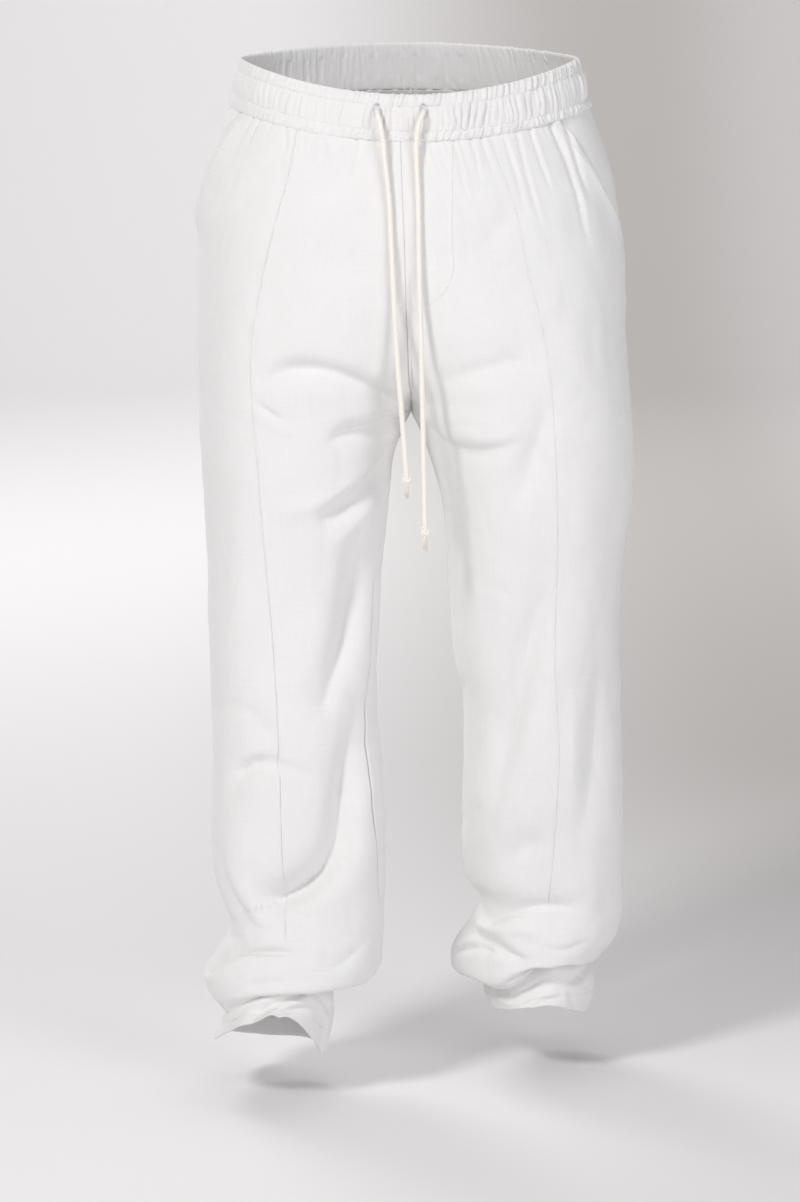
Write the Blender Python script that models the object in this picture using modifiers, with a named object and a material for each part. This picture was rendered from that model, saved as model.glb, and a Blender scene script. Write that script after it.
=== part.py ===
"""Linen drawstring trousers, in the shape that they hold when worn.

+Z is up, the front faces -Y, and the wearer's left is at +X. The origin is the middle of the waist,
where the waistband is held. Both legs are rings of cloth one above the other. A ring is named by its
reach: outer is at the side seam, crest where the ring comes furthest forward, inner at the inseam. An
inner reach below zero runs past the middle of the body, and there the ring stops at the middle seam,
which makes the front and back rise. All lengths in the tables are centimetres.
"""

import math

import bpy
import numpy as np

CM = 0.01
WALL = 0.0016
BAND_WALL = 0.0040
GAP = 0.0003
FACING_CLEARANCE = 0.0008
RING_SPACING = 3.9
FRONT_COLUMNS = (6, 7)
BACK_COLUMNS = 9
BAND_COLUMNS = 66
BAND_GATHERS = 22
PINTUCK_HALF_WIDTH = 0.20
PINTUCK_HEIGHT = 0.25
CORD_DIAMETER = 0.005
CORD_SPACING = 0.0105
EYELET_SIZE = (0.0076, 0.0104)
LINEN = (0.90, 0.89, 0.875, 1.0)
COTTON = (0.93, 0.87, 0.79, 1.0)

HIP_RINGS = (
    # name, level, outer right, outer left, crest, inner, front, side, back, square
    ("waist_seam", -2.3, 17.6, 17.4, 0.0, -17.5, -10.6, 0.2, 11.0, 2.10),
    ("gathers", -4.4, 18.8, 18.2, 0.4, -17.5, -11.0, 0.2, 11.9, 2.10),
    ("upper_hip", -8.0, 20.2, 19.4, 1.4, -16.8, -11.6, 0.2, 13.3, 2.15),
    ("pocket", -12.4, 21.1, 20.3, 3.0, -14.6, -12.1, 0.3, 14.7, 2.20),
    ("pocket_end", -15.8, 21.0, 20.9, 4.5, -12.2, -12.3, 0.4, 15.3, 2.25),
    ("seat", -19.6, 21.0, 21.1, 6.1, -9.2, -12.45, 0.4, 15.4, 2.30),
    ("fly_end", -24.0, 21.1, 21.2, 8.0, -5.4, -12.5, 0.4, 14.9, 2.35),
    ("under_seat", -29.0, 21.1, 21.5, 9.8, -1.7, -12.4, 0.3, 13.8, 2.40),
    ("rise", -31.3, 21.0, 21.65, 10.4, -0.38, -12.3, 0.2, 13.2, 2.40),
    ("low_rise", -32.0, 21.0, 21.7, 10.5, -0.13, -12.3, 0.1, 13.0, 2.40),
    ("under_rise", -32.35, 21.0, 21.75, 10.55, -0.03, -12.3, 0.1, 12.9, 2.40),
    ("crotch", -32.6, 21.0, 21.8, 10.6, 0.02, -12.3, 0.1, 12.8, 2.40),
)

LEG_RINGS = {
    # name, level, outer, crest, inner, front, side, back, square
    "right": (
        ("fork", -33.7, 20.95, 10.8, 0.8, -12.4, -0.1, 12.2, 2.40),
        ("upper_thigh", -36.0, 20.8, 11.0, 1.7, -12.5, -0.6, 11.4, 2.40),
        ("thigh", -40.5, 20.5, 11.2, 2.25, -12.4, -1.5, 9.9, 2.40),
        ("mid_thigh", -46.0, 20.2, 11.4, 2.8, -12.6, -2.6, 8.0, 2.40),
        ("low_thigh", -52.0, 20.0, 11.6, 3.2, -13.1, -3.9, 6.0, 2.40),
        ("above_knee", -58.0, 19.8, 11.6, 3.5, -13.9, -5.4, 3.9, 2.40),
        ("knee", -63.0, 19.6, 11.5, 3.35, -14.6, -6.5, 2.2, 2.40),
        ("below_knee", -68.0, 19.6, 11.3, 2.8, -14.8, -7.4, 0.8, 2.40),
        ("calf", -73.0, 19.7, 11.2, 2.55, -15.0, -8.2, -0.2, 2.40),
        ("shin", -77.5, 19.3, 11.1, 2.6, -15.3, -8.9, -1.0, 2.35),
        ("low_shin", -80.0, 18.3, 11.0, 2.7, -15.6, -9.3, -1.4, 2.30),
        ("notch", -81.7, 17.6, 10.9, 2.8, -15.9, -9.6, -1.6, 2.30),
        ("lip", -84.4, 20.0, 11.0, 2.95, -16.8, -9.9, -1.6, 2.30),
        ("crease", -85.6, 19.8, 11.0, 3.0, -15.9, -10.2, -1.8, 2.30),
        ("roll", -86.7, 20.0, 11.0, 3.4, -17.6, -10.5, -2.0, 2.30),
        ("under", -87.8, 18.9, 11.6, 5.2, -17.7, -10.8, -2.8, 2.30),
        ("tuck", -88.0, 18.2, 12.4, 7.3, -17.0, -11.0, -3.9, 2.25),
        ("cuff", -90.4, 18.1, 12.6, 7.7, -17.3, -11.2, -4.1, 2.20),
        ("hem", -93.0, 19.0, 12.9, 8.5, -18.6, -11.6, -3.9, 2.20),
    ),
    "left": (
        ("fork", -33.7, 21.9, 11.0, 0.75, -12.3, 0.1, 12.6, 2.40),
        ("upper_thigh", -36.0, 22.0, 11.8, 1.6, -12.0, 0.3, 12.2, 2.40),
        ("thigh", -40.5, 21.9, 12.4, 2.9, -11.4, 0.4, 11.4, 2.40),
        ("mid_thigh", -46.0, 21.2, 12.5, 3.45, -10.7, 0.4, 10.3, 2.40),
        ("low_thigh", -52.0, 20.9, 12.6, 3.9, -10.0, 0.2, 9.3, 2.40),
        ("above_knee", -57.0, 21.0, 12.8, 4.5, -9.6, 0.0, 8.4, 2.40),
        ("knee", -60.5, 21.1, 13.0, 5.2, -9.3, -0.1, 7.9, 2.40),
        ("below_knee", -65.0, 21.2, 13.2, 5.3, -9.0, -0.1, 7.4, 2.40),
        ("calf", -71.0, 21.4, 13.3, 5.2, -8.3, 0.1, 7.4, 2.40),
        ("low_calf", -76.0, 21.4, 13.3, 5.15, -7.5, 0.4, 7.7, 2.40),
        ("shin", -79.0, 21.4, 13.4, 5.6, -7.2, 0.7, 7.8, 2.35),
        ("crease", -81.7, 21.3, 13.5, 7.2, -6.4, 0.8, 8.0, 2.30),
        ("lobe", -84.0, 20.6, 13.5, 5.7, -7.6, 0.9, 8.4, 2.30),
        ("roll", -86.6, 19.3, 13.3, 4.1, -7.9, 1.1, 8.8, 2.25),
        ("under", -88.4, 18.2, 13.1, 5.6, -6.6, 1.3, 8.4, 2.25),
        ("tuck", -88.3, 17.2, 13.0, 7.2, -5.6, 1.5, 7.8, 2.20),
        ("cuff", -90.4, 18.5, 13.1, 7.5, -5.9, 1.7, 8.2, 2.20),
        ("hem", -92.6, 17.8, 13.1, 8.2, -6.9, 2.0, 8.4, 2.20),
    ),
}

# How far a ring lies above its level at the outer side, the front, the inner side and the back.
HIP_TILTS = {
    "waist_seam": (0.0, -2.9, 0.0, 1.3),
    "gathers": (0.0, -2.4, 0.0, 1.1),
    "upper_hip": (0.0, -1.7, -0.5, 0.8),
    "pocket": (0.0, -1.0, -0.3, 0.4),
    "pocket_end": (0.0, -0.7, 0.0, 0.3),
    "seat": (0.0, -0.4, 0.0, 0.2),
}
LEG_TILTS = {
    "right": {
        "notch": (0.0, 0.4, -0.6, 0.0),
        "lip": (-0.7, 1.8, 0.0, -0.3),
        "crease": (-0.7, 1.9, -0.2, -0.3),
        "roll": (-0.7, 1.1, 0.0, -0.4),
        "under": (-0.8, 0.6, 0.1, 0.0),
        "tuck": (-1.0, 0.2, 1.2, 0.6),
        "cuff": (-0.1, 1.9, -0.4, -0.8),
        "hem": (0.0, 4.0, -1.6, -1.8),
    },
    "left": {
        "crease": (-1.3, 0.3, 0.0, -0.8),
        "lobe": (-1.3, 0.0, 0.0, -1.0),
        "roll": (-0.3, 0.0, -0.6, -0.6),
        "under": (0.9, 0.0, -1.0, -0.4),
        "tuck": (1.4, -0.4, -1.7, 0.4),
        "cuff": (-0.2, 0.3, -0.8, -0.6),
        "hem": (-0.8, 1.7, -0.3, -1.4),
    },
}

# Angles round a ring, in degrees forward of its outer end, by distance down the cloth.
SEAM_ANGLES = (
    # down, side seam right, side seam left, inseam right, inseam left
    (0, 2, 4, 180, 180),
    (14, 2, 6, 180, 180),
    (28, 2, 10, 180, 180),
    (32, 2, 15, 180, 180),
    (40, 2, 16, 168, 178),
    (48, 0, 8, 152, 176),
    (60, -4, 4, 147, 174),
    (70, -6, 2, 145, 178),
    (78, -6, 2, 152, 180),
    (84, -6, 0, 172, 180),
    (100, -6, 0, 176, 180),
)

PINTUCKS = (
    # down, distance from the middle on the right, on the left
    (0.0, 10.9, 7.4),
    (4.5, 11.6, 8.9),
    (9.0, 12.7, 10.2),
    (15.0, 14.0, 11.3),
    (22.0, 15.1, 12.8),
    (27.0, 15.4, 13.5),
    (33.0, 15.0, 13.9),
    (45.0, 14.1, 14.3),
    (55.0, 13.3, 14.1),
    (65.0, 12.8, 14.6),
    (74.0, 12.6, 14.2),
    (82.0, 12.2, 13.6),
    (100.0, 13.0, 13.4),
)

FOLDS = (
    # side, depth (below zero is a trough), half width, line as (across, height) points on the front
    (-1, -0.55, 1.5, ((-14.3, -27.5), (-10.6, -25.7), (-5.1, -27.0), (-1.5, -29.4))),
    (-1, -0.50, 1.4, ((-7.1, -32.4), (-4.2, -31.8), (-1.6, -31.3))),
    (-1, 0.50, 1.8, ((-2.6, -33.4), (-8.1, -38.8), (-13.8, -40.3))),
    (-1, -0.45, 1.6, ((-5.6, -45.2), (-6.2, -50.9), (-8.2, -58.5))),
    (-1, -0.70, 1.5, ((-5.8, -60.0), (-6.6, -68.7), (-8.0, -73.4), (-12.6, -77.6))),
    (1, -0.35, 1.5, ((3.0, -34.2), (5.6, -34.6), (10.1, -33.8))),
    (1, -0.35, 1.6, ((13.0, -29.3), (12.0, -34.8), (10.3, -40.1))),
    (1, -0.40, 1.7, ((13.9, -47.6), (11.5, -54.0), (8.3, -65.5))),
)

BAND_ROWS = (
    # proud, outer right, outer left, front, side, back, height at the side, front and back
    (0.10, 17.6, 17.4, -10.60, 0.2, 11.00, -2.23, -5.13, -0.93),
    (0.00, 17.4, 17.2, -10.45, 0.2, 10.90, -1.2, -4.2, 0.1),
    (0.22, 17.2, 16.9, -10.30, 0.2, 10.75, 0.2, -2.9, 1.4),
    (0.00, 16.9, 16.6, -10.10, 0.2, 10.55, 1.4, -1.8, 2.6),
    (0.08, 16.7, 16.2, -9.90, 0.2, 10.40, 2.4, -0.8, 3.6),
)
BAND_SQUARE = 2.10

POCKET_TURN = 21.0
POCKET_MOUTH = (
    # down, share of the pocket's turn forward of the side seam
    (0.0, 1.0),
    (4.0, 0.86),
    (8.0, 0.58),
    (13.9, 0.0),
)

FLY_WIDTH = 4.2
FLY_STRAIGHT = 12.0
FLY_LENGTH = 16.5

EYELETS = {"right": (-3.3, -2.35), "left": (1.15, -2.35)}
CORDS = {
    # route of the free end, from inside the casing to the knot
    "right": (
        (-3.3, -10.0, -2.35),
        (-3.3, -10.5, -2.37),
        (-3.2, -10.95, -2.65),
        (-3.0, -11.15, -3.5),
        (-2.75, -11.3, -5.0),
        (-2.5, -11.65, -7.3),
        (-2.15, -12.1, -10.5),
        (-1.95, -12.5, -14.5),
        (-1.7, -12.65, -19.8),
        (-1.4, -12.6, -25.2),
        (-0.95, -12.6, -31.0),
        (-0.5, -12.6, -36.9),
    ),
    "left": (
        (1.15, -10.0, -2.35),
        (1.15, -10.5, -2.37),
        (1.0, -10.95, -2.65),
        (0.7, -11.15, -3.5),
        (0.5, -11.3, -5.0),
        (0.5, -11.65, -7.3),
        (0.65, -12.1, -10.5),
        (0.7, -12.45, -14.5),
        (0.8, -12.65, -19.8),
        (0.95, -12.65, -25.2),
        (1.15, -12.65, -34.3),
        (1.3, -12.65, -42.0),
    ),
}
KNOT_PROFILE = (
    # radius, distance below the knot's top
    (0.0, 0.0),
    (0.28, 0.03),
    (0.44, 0.35),
    (0.46, 0.75),
    (0.36, 1.15),
    (0.26, 1.30),
    (0.30, 1.75),
    (0.36, 2.25),
    (0.0, 2.30),
)


def clear_scene():
    for obj in list(bpy.data.objects):
        bpy.data.objects.remove(obj, do_unlink=True)


def smooth_table(knots, values, at):
    """Cubic curve through the rows of a table: each row's slope is that of the parabola through it and
    the rows beside it."""
    knots = np.asarray(knots, float)
    values = np.asarray(values, float)
    steps = np.diff(knots)
    slopes = np.diff(values, axis=0) / steps[:, None]
    inner = (slopes[:-1] * steps[1:, None] + slopes[1:] * steps[:-1, None]) / (steps[1:] + steps[:-1])[:, None]
    tangents = np.concatenate([slopes[:1], inner, slopes[-1:]])
    at = np.clip(at, knots[0], knots[-1])
    k = np.clip(np.searchsorted(knots, at, side="right") - 1, 0, len(steps) - 1)
    h = steps[k]
    t = ((at - knots[k]) / h)[..., None]
    h = h[..., None]
    return (
        values[k] * (1 + 2 * t) * (1 - t) ** 2
        + tangents[k] * h * t * (1 - t) ** 2
        + values[k + 1] * t**2 * (3 - 2 * t)
        + tangents[k + 1] * h * t**2 * (t - 1)
    )


class Leg:
    """One half of the trousers: half of the hips, and the leg below it. down is the distance along the
    cloth below the waist seam, and angle goes round a ring from its outer end over the front."""

    def __init__(self, side):
        self.side = side
        self.sign = 1 if side == "left" else -1
        rows = []
        for name, level, outer_right, outer_left, *rest in HIP_RINGS:
            outer = outer_left if side == "left" else outer_right
            rows.append((level, outer, *rest, *HIP_TILTS.get(name, (0, 0, 0, 0))))
        for name, *rest in LEG_RINGS[side]:
            rows.append((*rest, *LEG_TILTS[side].get(name, (0, 0, 0, 0))))
        self.rows = np.array(rows)
        level, outer, inner, front, back = self.rows[:, [0, 1, 3, 4, 6]].T
        reach = np.stack([outer, -front, -inner, back])
        height = level + self.rows[:, 8:12].T
        runs = np.hypot(np.diff(reach), np.diff(height))
        self.knots = np.concatenate([[0], np.cumsum(np.sqrt((runs**2).mean(axis=0)))])
        self.length = self.knots[-1]

    def stations(self):
        """Distances down the cloth of the rings that are built: every row of the tables, and more
        between rows that lie far apart."""
        found = [0.0]
        for start, end in zip(self.knots[:-1], self.knots[1:]):
            count = max(1, round((end - start) / RING_SPACING))
            found.extend(start + (end - start) * (i + 1) / count for i in range(count))
        return np.array(found)

    def ring(self, down):
        return smooth_table(self.knots, self.rows, down)

    def angle_at(self, down, across):
        """The angle, on the front, at which a ring is this far from the middle."""
        _, outer, crest, inner, _, _, _, square = np.moveaxis(self.ring(down)[..., :8], -1, 0)
        reach = np.where(across > crest, outer - crest, crest - inner)
        share = np.clip(np.abs(across - crest) / reach, 0, 1) ** square
        share = np.maximum(share, 1e-9)
        turn = np.arctan(((1 - share) / share) ** (1 / square))
        return np.where(across > crest, turn, math.pi - turn)

    def middle(self, down):
        """The angle of the middle seam above the crotch, and of the inseam below it."""
        table = np.array(SEAM_ANGLES, float)
        inseam = np.radians(np.interp(down, table[:, 0], table[:, 4 if self.sign > 0 else 3]))
        cut = self.ring(down)[..., 3] < 0
        return np.where(cut, self.angle_at(down, 0 * down), inseam)

    def side_seam(self, down):
        table = np.array(SEAM_ANGLES, float)
        return np.radians(np.interp(down, table[:, 0], table[:, 2 if self.sign > 0 else 1]))

    def pintuck(self, down):
        table = np.array(PINTUCKS)
        across = smooth_table(table[:, 0], table[:, 1:], down)[..., 1 if self.sign > 0 else 0]
        return self.angle_at(down, across)

    def bare(self, down, angle):
        """Point on the rings with no folds. With c and s the cosine and sine of the angle, a ring is
        crest + reach * c / n and side - reach * s / n, where n is the power mean of |c| and |s| that
        squares the ellipse, and its height blends four tilts by c squared and s squared."""
        ring = self.ring(down)
        level, outer, crest, inner, front, side, back, square = np.moveaxis(ring[..., :8], -1, 0)
        c = np.cos(angle)
        s = np.sin(angle)
        mean = (np.abs(c) ** square + np.abs(s) ** square) ** (1 / square)
        across = crest + np.where(c > 0, outer - crest, crest - inner) * c / mean
        depth = side - np.where(s > 0, side - front, back - side) * s / mean
        tilt = np.moveaxis(ring[..., 8:12], -1, 0)
        height = level + np.where(c > 0, tilt[0], tilt[2]) * c**2 + np.where(s > 0, tilt[1], tilt[3]) * s**2
        return np.stack([self.sign * across, depth, height], axis=-1)

    def folds(self, point, angle):
        """Height of the folds of the front: for each, depth * exp(-(distance / half width) squared)."""
        found = np.zeros(point.shape[:-1])
        for side, depth, half_width, line in FOLDS:
            if side != self.sign:
                continue
            nearest = np.full(found.shape, np.inf)
            for start, end in zip(np.array(line[:-1]), np.array(line[1:])):
                run = end - start
                offset = point[..., [0, 2]] - start
                along = np.clip((offset @ run) / (run @ run), 0, 1)
                nearest = np.minimum(nearest, np.linalg.norm(offset - along[..., None] * run, axis=-1))
            found += depth * np.exp(-((nearest / half_width) ** 2))
        return found * np.clip(np.sin(angle) * 2.5, 0, 1)

    def point(self, down, angle):
        bare = self.bare(down, angle)
        return bare + self.folds(bare, angle)[..., None] * self.normal(self.bare, down, angle)

    def normal(self, surface, down, angle):
        """Unit vector out of the cloth, from the surface's slopes round and down."""
        step = 0.02
        turn = 0.004
        below = surface(np.minimum(down + step, self.length), angle)
        above = surface(np.maximum(down - step, 0), angle)
        out = np.cross(surface(down, angle + turn) - surface(down, angle - turn), below - above)
        return self.sign * out / np.linalg.norm(out, axis=-1, keepdims=True)

    def cloth(self, down, angle, inset=0.0):
        """Grid of points inset from the cloth's outer face, kept on this side of the middle seam."""
        down, angle = np.broadcast_arrays(down, angle)
        points = self.point(down, angle) - inset / CM * self.normal(self.point, down, angle)
        across = np.maximum(self.sign * points[..., 0], GAP / 2 / CM)
        points[..., 0] = self.sign * across
        return points * CM

    def shift(self, down, angle, distance):
        """The angle that lies this far along the ring from another."""
        run = np.linalg.norm(self.bare(down, angle + 0.01) - self.bare(down, angle - 0.01), axis=-1)
        return angle + distance / CM / run * 0.02


def material(name, colour, roughness):
    made = bpy.data.materials.new(name)
    made.use_nodes = True
    shader = made.node_tree.nodes["Principled BSDF"]
    shader.inputs["Base Color"].default_value = colour
    shader.inputs["Roughness"].default_value = roughness
    shader.inputs["Metallic"].default_value = 0.0
    return made


def add_mesh(name, vertices, faces, collection, finish):
    """A mesh object of triangles, turned round if they enclose a volume below zero."""
    corners = vertices[faces]
    if np.einsum("ij,ij->", corners[:, 0], np.cross(corners[:, 1], corners[:, 2])) < 0:
        faces = faces[:, ::-1]
    mesh = bpy.data.meshes.new(name)
    mesh.from_pydata(vertices.tolist(), [], faces.tolist())
    mesh.shade_smooth()
    mesh.set_sharp_from_angle(angle=math.radians(50))
    mesh.materials.append(finish)
    obj = bpy.data.objects.new(name, mesh)
    collection.objects.link(obj)
    return obj


def wall(name, outer, inner, collection, finish, closed=False):
    """A loft between two like grids of points, joined round their edges into one shell. Every cell is
    split along the same diagonal, so that two pieces that share points also share facets. A closed
    grid joins its last column to its first."""
    rows, columns = outer.shape[:2]
    index = np.arange(rows * columns).reshape(rows, columns)
    if closed:
        index = np.concatenate([index, index[:, :1]], axis=1)
    cells = np.stack([index[:-1, :-1], index[1:, :-1], index[1:, 1:], index[:-1, 1:]], axis=-1).reshape(-1, 4)
    facets = np.concatenate([cells[:, [0, 1, 2]], cells[:, [0, 2, 3]]])
    other = rows * columns
    edges = [(index[0, :-1], index[0, 1:]), (index[-1, 1:], index[-1, :-1])]
    if not closed:
        edges += [(index[1:, 0], index[:-1, 0]), (index[:-1, -1], index[1:, -1])]
    rims = [np.stack([a, b, b + other], axis=-1) for a, b in edges]
    rims += [np.stack([a, b + other, a + other], axis=-1) for a, b in edges]
    faces = np.concatenate([facets, facets[:, ::-1] + other, *rims])
    vertices = np.concatenate([outer.reshape(-1, 3), inner.reshape(-1, 3)])
    return add_mesh(name, vertices, faces, collection, finish)


def front_angles(leg):
    """The front's rings and the angles of its columns: from the pocket mouth or side seam to the foot
    of the pintuck, the pintuck, and from its other foot to the middle seam or inseam."""
    down = leg.stations()
    mouth = np.array(POCKET_MOUTH)
    turn = math.radians(POCKET_TURN) * np.interp(down, mouth[:, 0], mouth[:, 1])
    edge = leg.shift(down, leg.side_seam(down) + turn, GAP / 2)
    end = leg.shift(down, leg.middle(down), -GAP / 2)
    ridge = leg.pintuck(down)
    foot = PINTUCK_HALF_WIDTH * CM
    before = np.linspace(edge, leg.shift(down, ridge, -foot), FRONT_COLUMNS[0] + 1, axis=1)
    after = np.linspace(leg.shift(down, ridge, foot), end, FRONT_COLUMNS[1] + 1, axis=1)
    return down, np.concatenate([before, ridge[:, None], after], axis=1)


def front_panel(leg, collection):
    """From the side to the middle, with the pintuck as a ridge down it."""
    down, angle = front_angles(leg)
    outer = leg.cloth(down[:, None], angle)
    inner = leg.cloth(down[:, None], angle, WALL)
    proud = leg.cloth(down[:, None], angle, -PINTUCK_HEIGHT * CM)
    ridge = FRONT_COLUMNS[0] + 1
    outer[:, ridge] = proud[:, ridge]
    finish = material(f"front_{leg.side}_linen", LINEN, 0.85)
    wall(f"front_{leg.side}", outer, inner, collection, finish)


def back_panel(leg, collection):
    down = leg.stations()
    start = leg.shift(down, leg.side_seam(down), -GAP / 2)
    above = leg.ring(down)[:, 3] < 0
    middle = leg.middle(down)
    end = leg.shift(down, np.where(above, -middle, middle - 2 * math.pi), GAP / 2)
    angle = np.linspace(start, end, BACK_COLUMNS + 1, axis=1)
    finish = material(f"back_{leg.side}_linen", LINEN, 0.85)
    outer = leg.cloth(down[:, None], angle)
    wall(f"back_{leg.side}", outer, leg.cloth(down[:, None], angle, WALL), collection, finish)


def pocket_facing(leg, collection):
    """The cloth that shows behind the slanted mouth: it hangs from the waist seam, meets the side seam
    and runs under the front as far as the front's second column."""
    down, angle = front_angles(leg)
    rows = down <= POCKET_MOUTH[-1][0] + 0.3
    down = down[rows]
    start = leg.shift(down, leg.side_seam(down), GAP)
    edge, end = angle[rows, 0], angle[rows, 1]
    angle = np.stack([start, np.maximum(edge, start + 0.35 * (end - start)), end], axis=1)
    finish = material(f"pocket_facing_{leg.side}_linen", LINEN, 0.85)
    outer = leg.cloth(down[:, None], angle, WALL + FACING_CLEARANCE)
    inner = leg.cloth(down[:, None], angle, 2 * WALL + FACING_CLEARANCE)
    wall(f"pocket_facing_{leg.side}", outer, inner, collection, finish)


def fly_facing(leg, collection):
    """Straight down from the waist seam, then a quarter of an ellipse in to the middle seam."""
    down = leg.stations()
    down = down[down < FLY_LENGTH]
    fall = np.clip((down - FLY_STRAIGHT) / (FLY_LENGTH - FLY_STRAIGHT), 0, 1)
    width = FLY_WIDTH * np.sqrt(1 - fall**2)
    across = np.linspace(np.full_like(width, 0.06), width, 4, axis=1)
    angle = leg.angle_at(np.broadcast_to(down[:, None], across.shape), across)
    finish = material("fly_facing_linen", LINEN, 0.85)
    outer = leg.cloth(down[:, None], angle, WALL + FACING_CLEARANCE)
    inner = leg.cloth(down[:, None], angle, 2 * WALL + FACING_CLEARANCE)
    wall("fly_facing", outer, inner, collection, finish)


def band_point(row, angle, inset):
    """Round the waistband: angle 0 is the wearer's left and a quarter turn is the front."""
    proud, outer_right, outer_left, front, side, back, z_side, z_front, z_back = row
    c = np.cos(angle)
    s = np.sin(angle)
    mean = (np.abs(c) ** BAND_SQUARE + np.abs(s) ** BAND_SQUARE) ** (1 / BAND_SQUARE)
    gather = 0.06 * np.cos(BAND_GATHERS * angle + 0.8 * np.sin(3 * angle))
    grow = proud + gather - inset / CM
    x = (np.where(c > 0, outer_left, outer_right) + grow) * c / mean
    y = side - (np.where(s > 0, side - front, back - side) + grow) * s / mean
    z = z_side * c**2 + np.where(s > 0, z_front, z_back) * s**2
    return np.stack([x, y, z], axis=-1) * CM


def waistband(collection, cutters):
    """A ring of doubled cloth with elastic in it. Each cord comes out through an eyelet in the front."""
    angle = np.linspace(0, 2 * math.pi, BAND_COLUMNS, endpoint=False)
    outer = np.stack([band_point(row, angle, 0.0) for row in BAND_ROWS])
    inner = np.stack([band_point(row, angle, BAND_WALL) for row in BAND_ROWS])
    finish = material("waistband_linen", LINEN, 0.85)
    band = wall("waistband", outer, inner, collection, finish, closed=True)
    for side, (x, z) in EYELETS.items():
        bpy.ops.mesh.primitive_cylinder_add(vertices=12, radius=0.5, depth=0.03)
        cutter = bpy.context.object
        cutter.name = f"eyelet_cutter_{side}"
        cutter.location = (x * CM, -0.102, z * CM)
        cutter.rotation_euler = (math.radians(90), 0, 0)
        cutter.scale = (EYELET_SIZE[0], EYELET_SIZE[1], 1)
        cutter.hide_render = True
        cutter.display_type = "WIRE"
        for holder in list(cutter.users_collection):
            holder.objects.unlink(cutter)
        cutters.objects.link(cutter)
        cut = band.modifiers.new(f"eyelet_{side}", "BOOLEAN")
        cut.operation = "DIFFERENCE"
        cut.object = cutter


def cord_route(side):
    """Points of the cord's middle line, an even spacing apart on a smooth curve through its route."""
    route = np.array(CORDS[side]) * CM
    knots = np.concatenate([[0], np.cumsum(np.linalg.norm(np.diff(route, axis=0), axis=1))])
    fine = smooth_table(knots, route, np.linspace(0, knots[-1], 600))
    run = np.concatenate([[0], np.cumsum(np.linalg.norm(np.diff(fine, axis=0), axis=1))])
    even = np.linspace(0, run[-1], round(run[-1] / CORD_SPACING) + 1)
    return np.stack([np.interp(even, run, fine[:, axis]) for axis in range(3)], axis=-1)


def drawstring(side, collection):
    points = cord_route(side)
    curve = bpy.data.curves.new(f"drawstring_{side}", "CURVE")
    curve.dimensions = "3D"
    curve.bevel_depth = CORD_DIAMETER / 2
    curve.bevel_resolution = 2
    curve.use_fill_caps = True
    spline = curve.splines.new("POLY")
    spline.points.add(len(points) - 1)
    for spot, place in zip(spline.points, points):
        spot.co = (*place, 1)
    curve.materials.append(material(f"drawstring_{side}_cotton", COTTON, 0.9))
    collection.objects.link(bpy.data.objects.new(f"drawstring_{side}", curve))
    return points[-1]


def knot(side, end, collection):
    """An overhand knot and the frayed tip below it, as one turned shape."""
    profile = np.array(KNOT_PROFILE) * CM
    mesh = bpy.data.meshes.new(f"drawstring_knot_{side}")
    vertices = [(radius, 0, -below) for radius, below in profile]
    mesh.from_pydata(vertices, [(i, i + 1) for i in range(len(vertices) - 1)], [])
    mesh.materials.append(material(f"drawstring_knot_{side}_cotton", COTTON, 0.9))
    obj = bpy.data.objects.new(f"drawstring_knot_{side}", mesh)
    obj.location = (end[0], end[1], end[2] - GAP)
    turn = obj.modifiers.new("turn", "SCREW")
    turn.steps = 12
    turn.render_steps = 12
    turn.use_merge_vertices = True
    turn.merge_threshold = 0.00005
    turn.use_smooth_shade = True
    collection.objects.link(obj)


def main():
    clear_scene()
    collection = bpy.data.collections.new("drawstring_trousers")
    cutters = bpy.data.collections.new("cutters")
    bpy.context.scene.collection.children.link(collection)
    bpy.context.scene.collection.children.link(cutters)
    for side in ("right", "left"):
        leg = Leg(side)
        front_panel(leg, collection)
        back_panel(leg, collection)
        pocket_facing(leg, collection)
        if side == "left":
            fly_facing(leg, collection)
        knot(side, drawstring(side, collection), collection)
    waistband(collection, cutters)


main()
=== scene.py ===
"""Looks of the linen drawstring trousers: creased and gathered cloth, stitching, cords and studio.

The cloth follows rings of the wearer's leg and hips, as wide, deep and high as the tables say. +Z is up,
the front faces -Y, the wearer's left is at +X, and the origin is the middle of the waist. Lengths in
the tables are centimetres unless a column says otherwise.
"""

import itertools
import math

import bpy
import numpy as np
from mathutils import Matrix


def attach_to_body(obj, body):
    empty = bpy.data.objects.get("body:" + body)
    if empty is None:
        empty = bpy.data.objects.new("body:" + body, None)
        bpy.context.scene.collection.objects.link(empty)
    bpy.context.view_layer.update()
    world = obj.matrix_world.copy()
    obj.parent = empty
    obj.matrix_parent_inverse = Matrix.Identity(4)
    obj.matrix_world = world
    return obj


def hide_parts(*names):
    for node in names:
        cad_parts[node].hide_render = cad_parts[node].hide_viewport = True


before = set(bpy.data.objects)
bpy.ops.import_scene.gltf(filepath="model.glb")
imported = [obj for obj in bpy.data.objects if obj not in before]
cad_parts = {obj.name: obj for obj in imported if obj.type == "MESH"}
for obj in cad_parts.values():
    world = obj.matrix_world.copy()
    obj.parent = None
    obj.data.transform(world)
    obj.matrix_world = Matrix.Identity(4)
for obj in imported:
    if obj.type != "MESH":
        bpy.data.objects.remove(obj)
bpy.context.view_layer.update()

# A centimetre and the thickness of one layer of cloth, in metres.
CM = 0.01
CLOTH = 0.0007

# Columns of the meshes: before and after a front's pintuck, across a back, and round the waistband.
PLAIN_COLUMNS = {"front": (60, 74), "back": 112}
BAND_COLUMNS = 920

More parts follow.
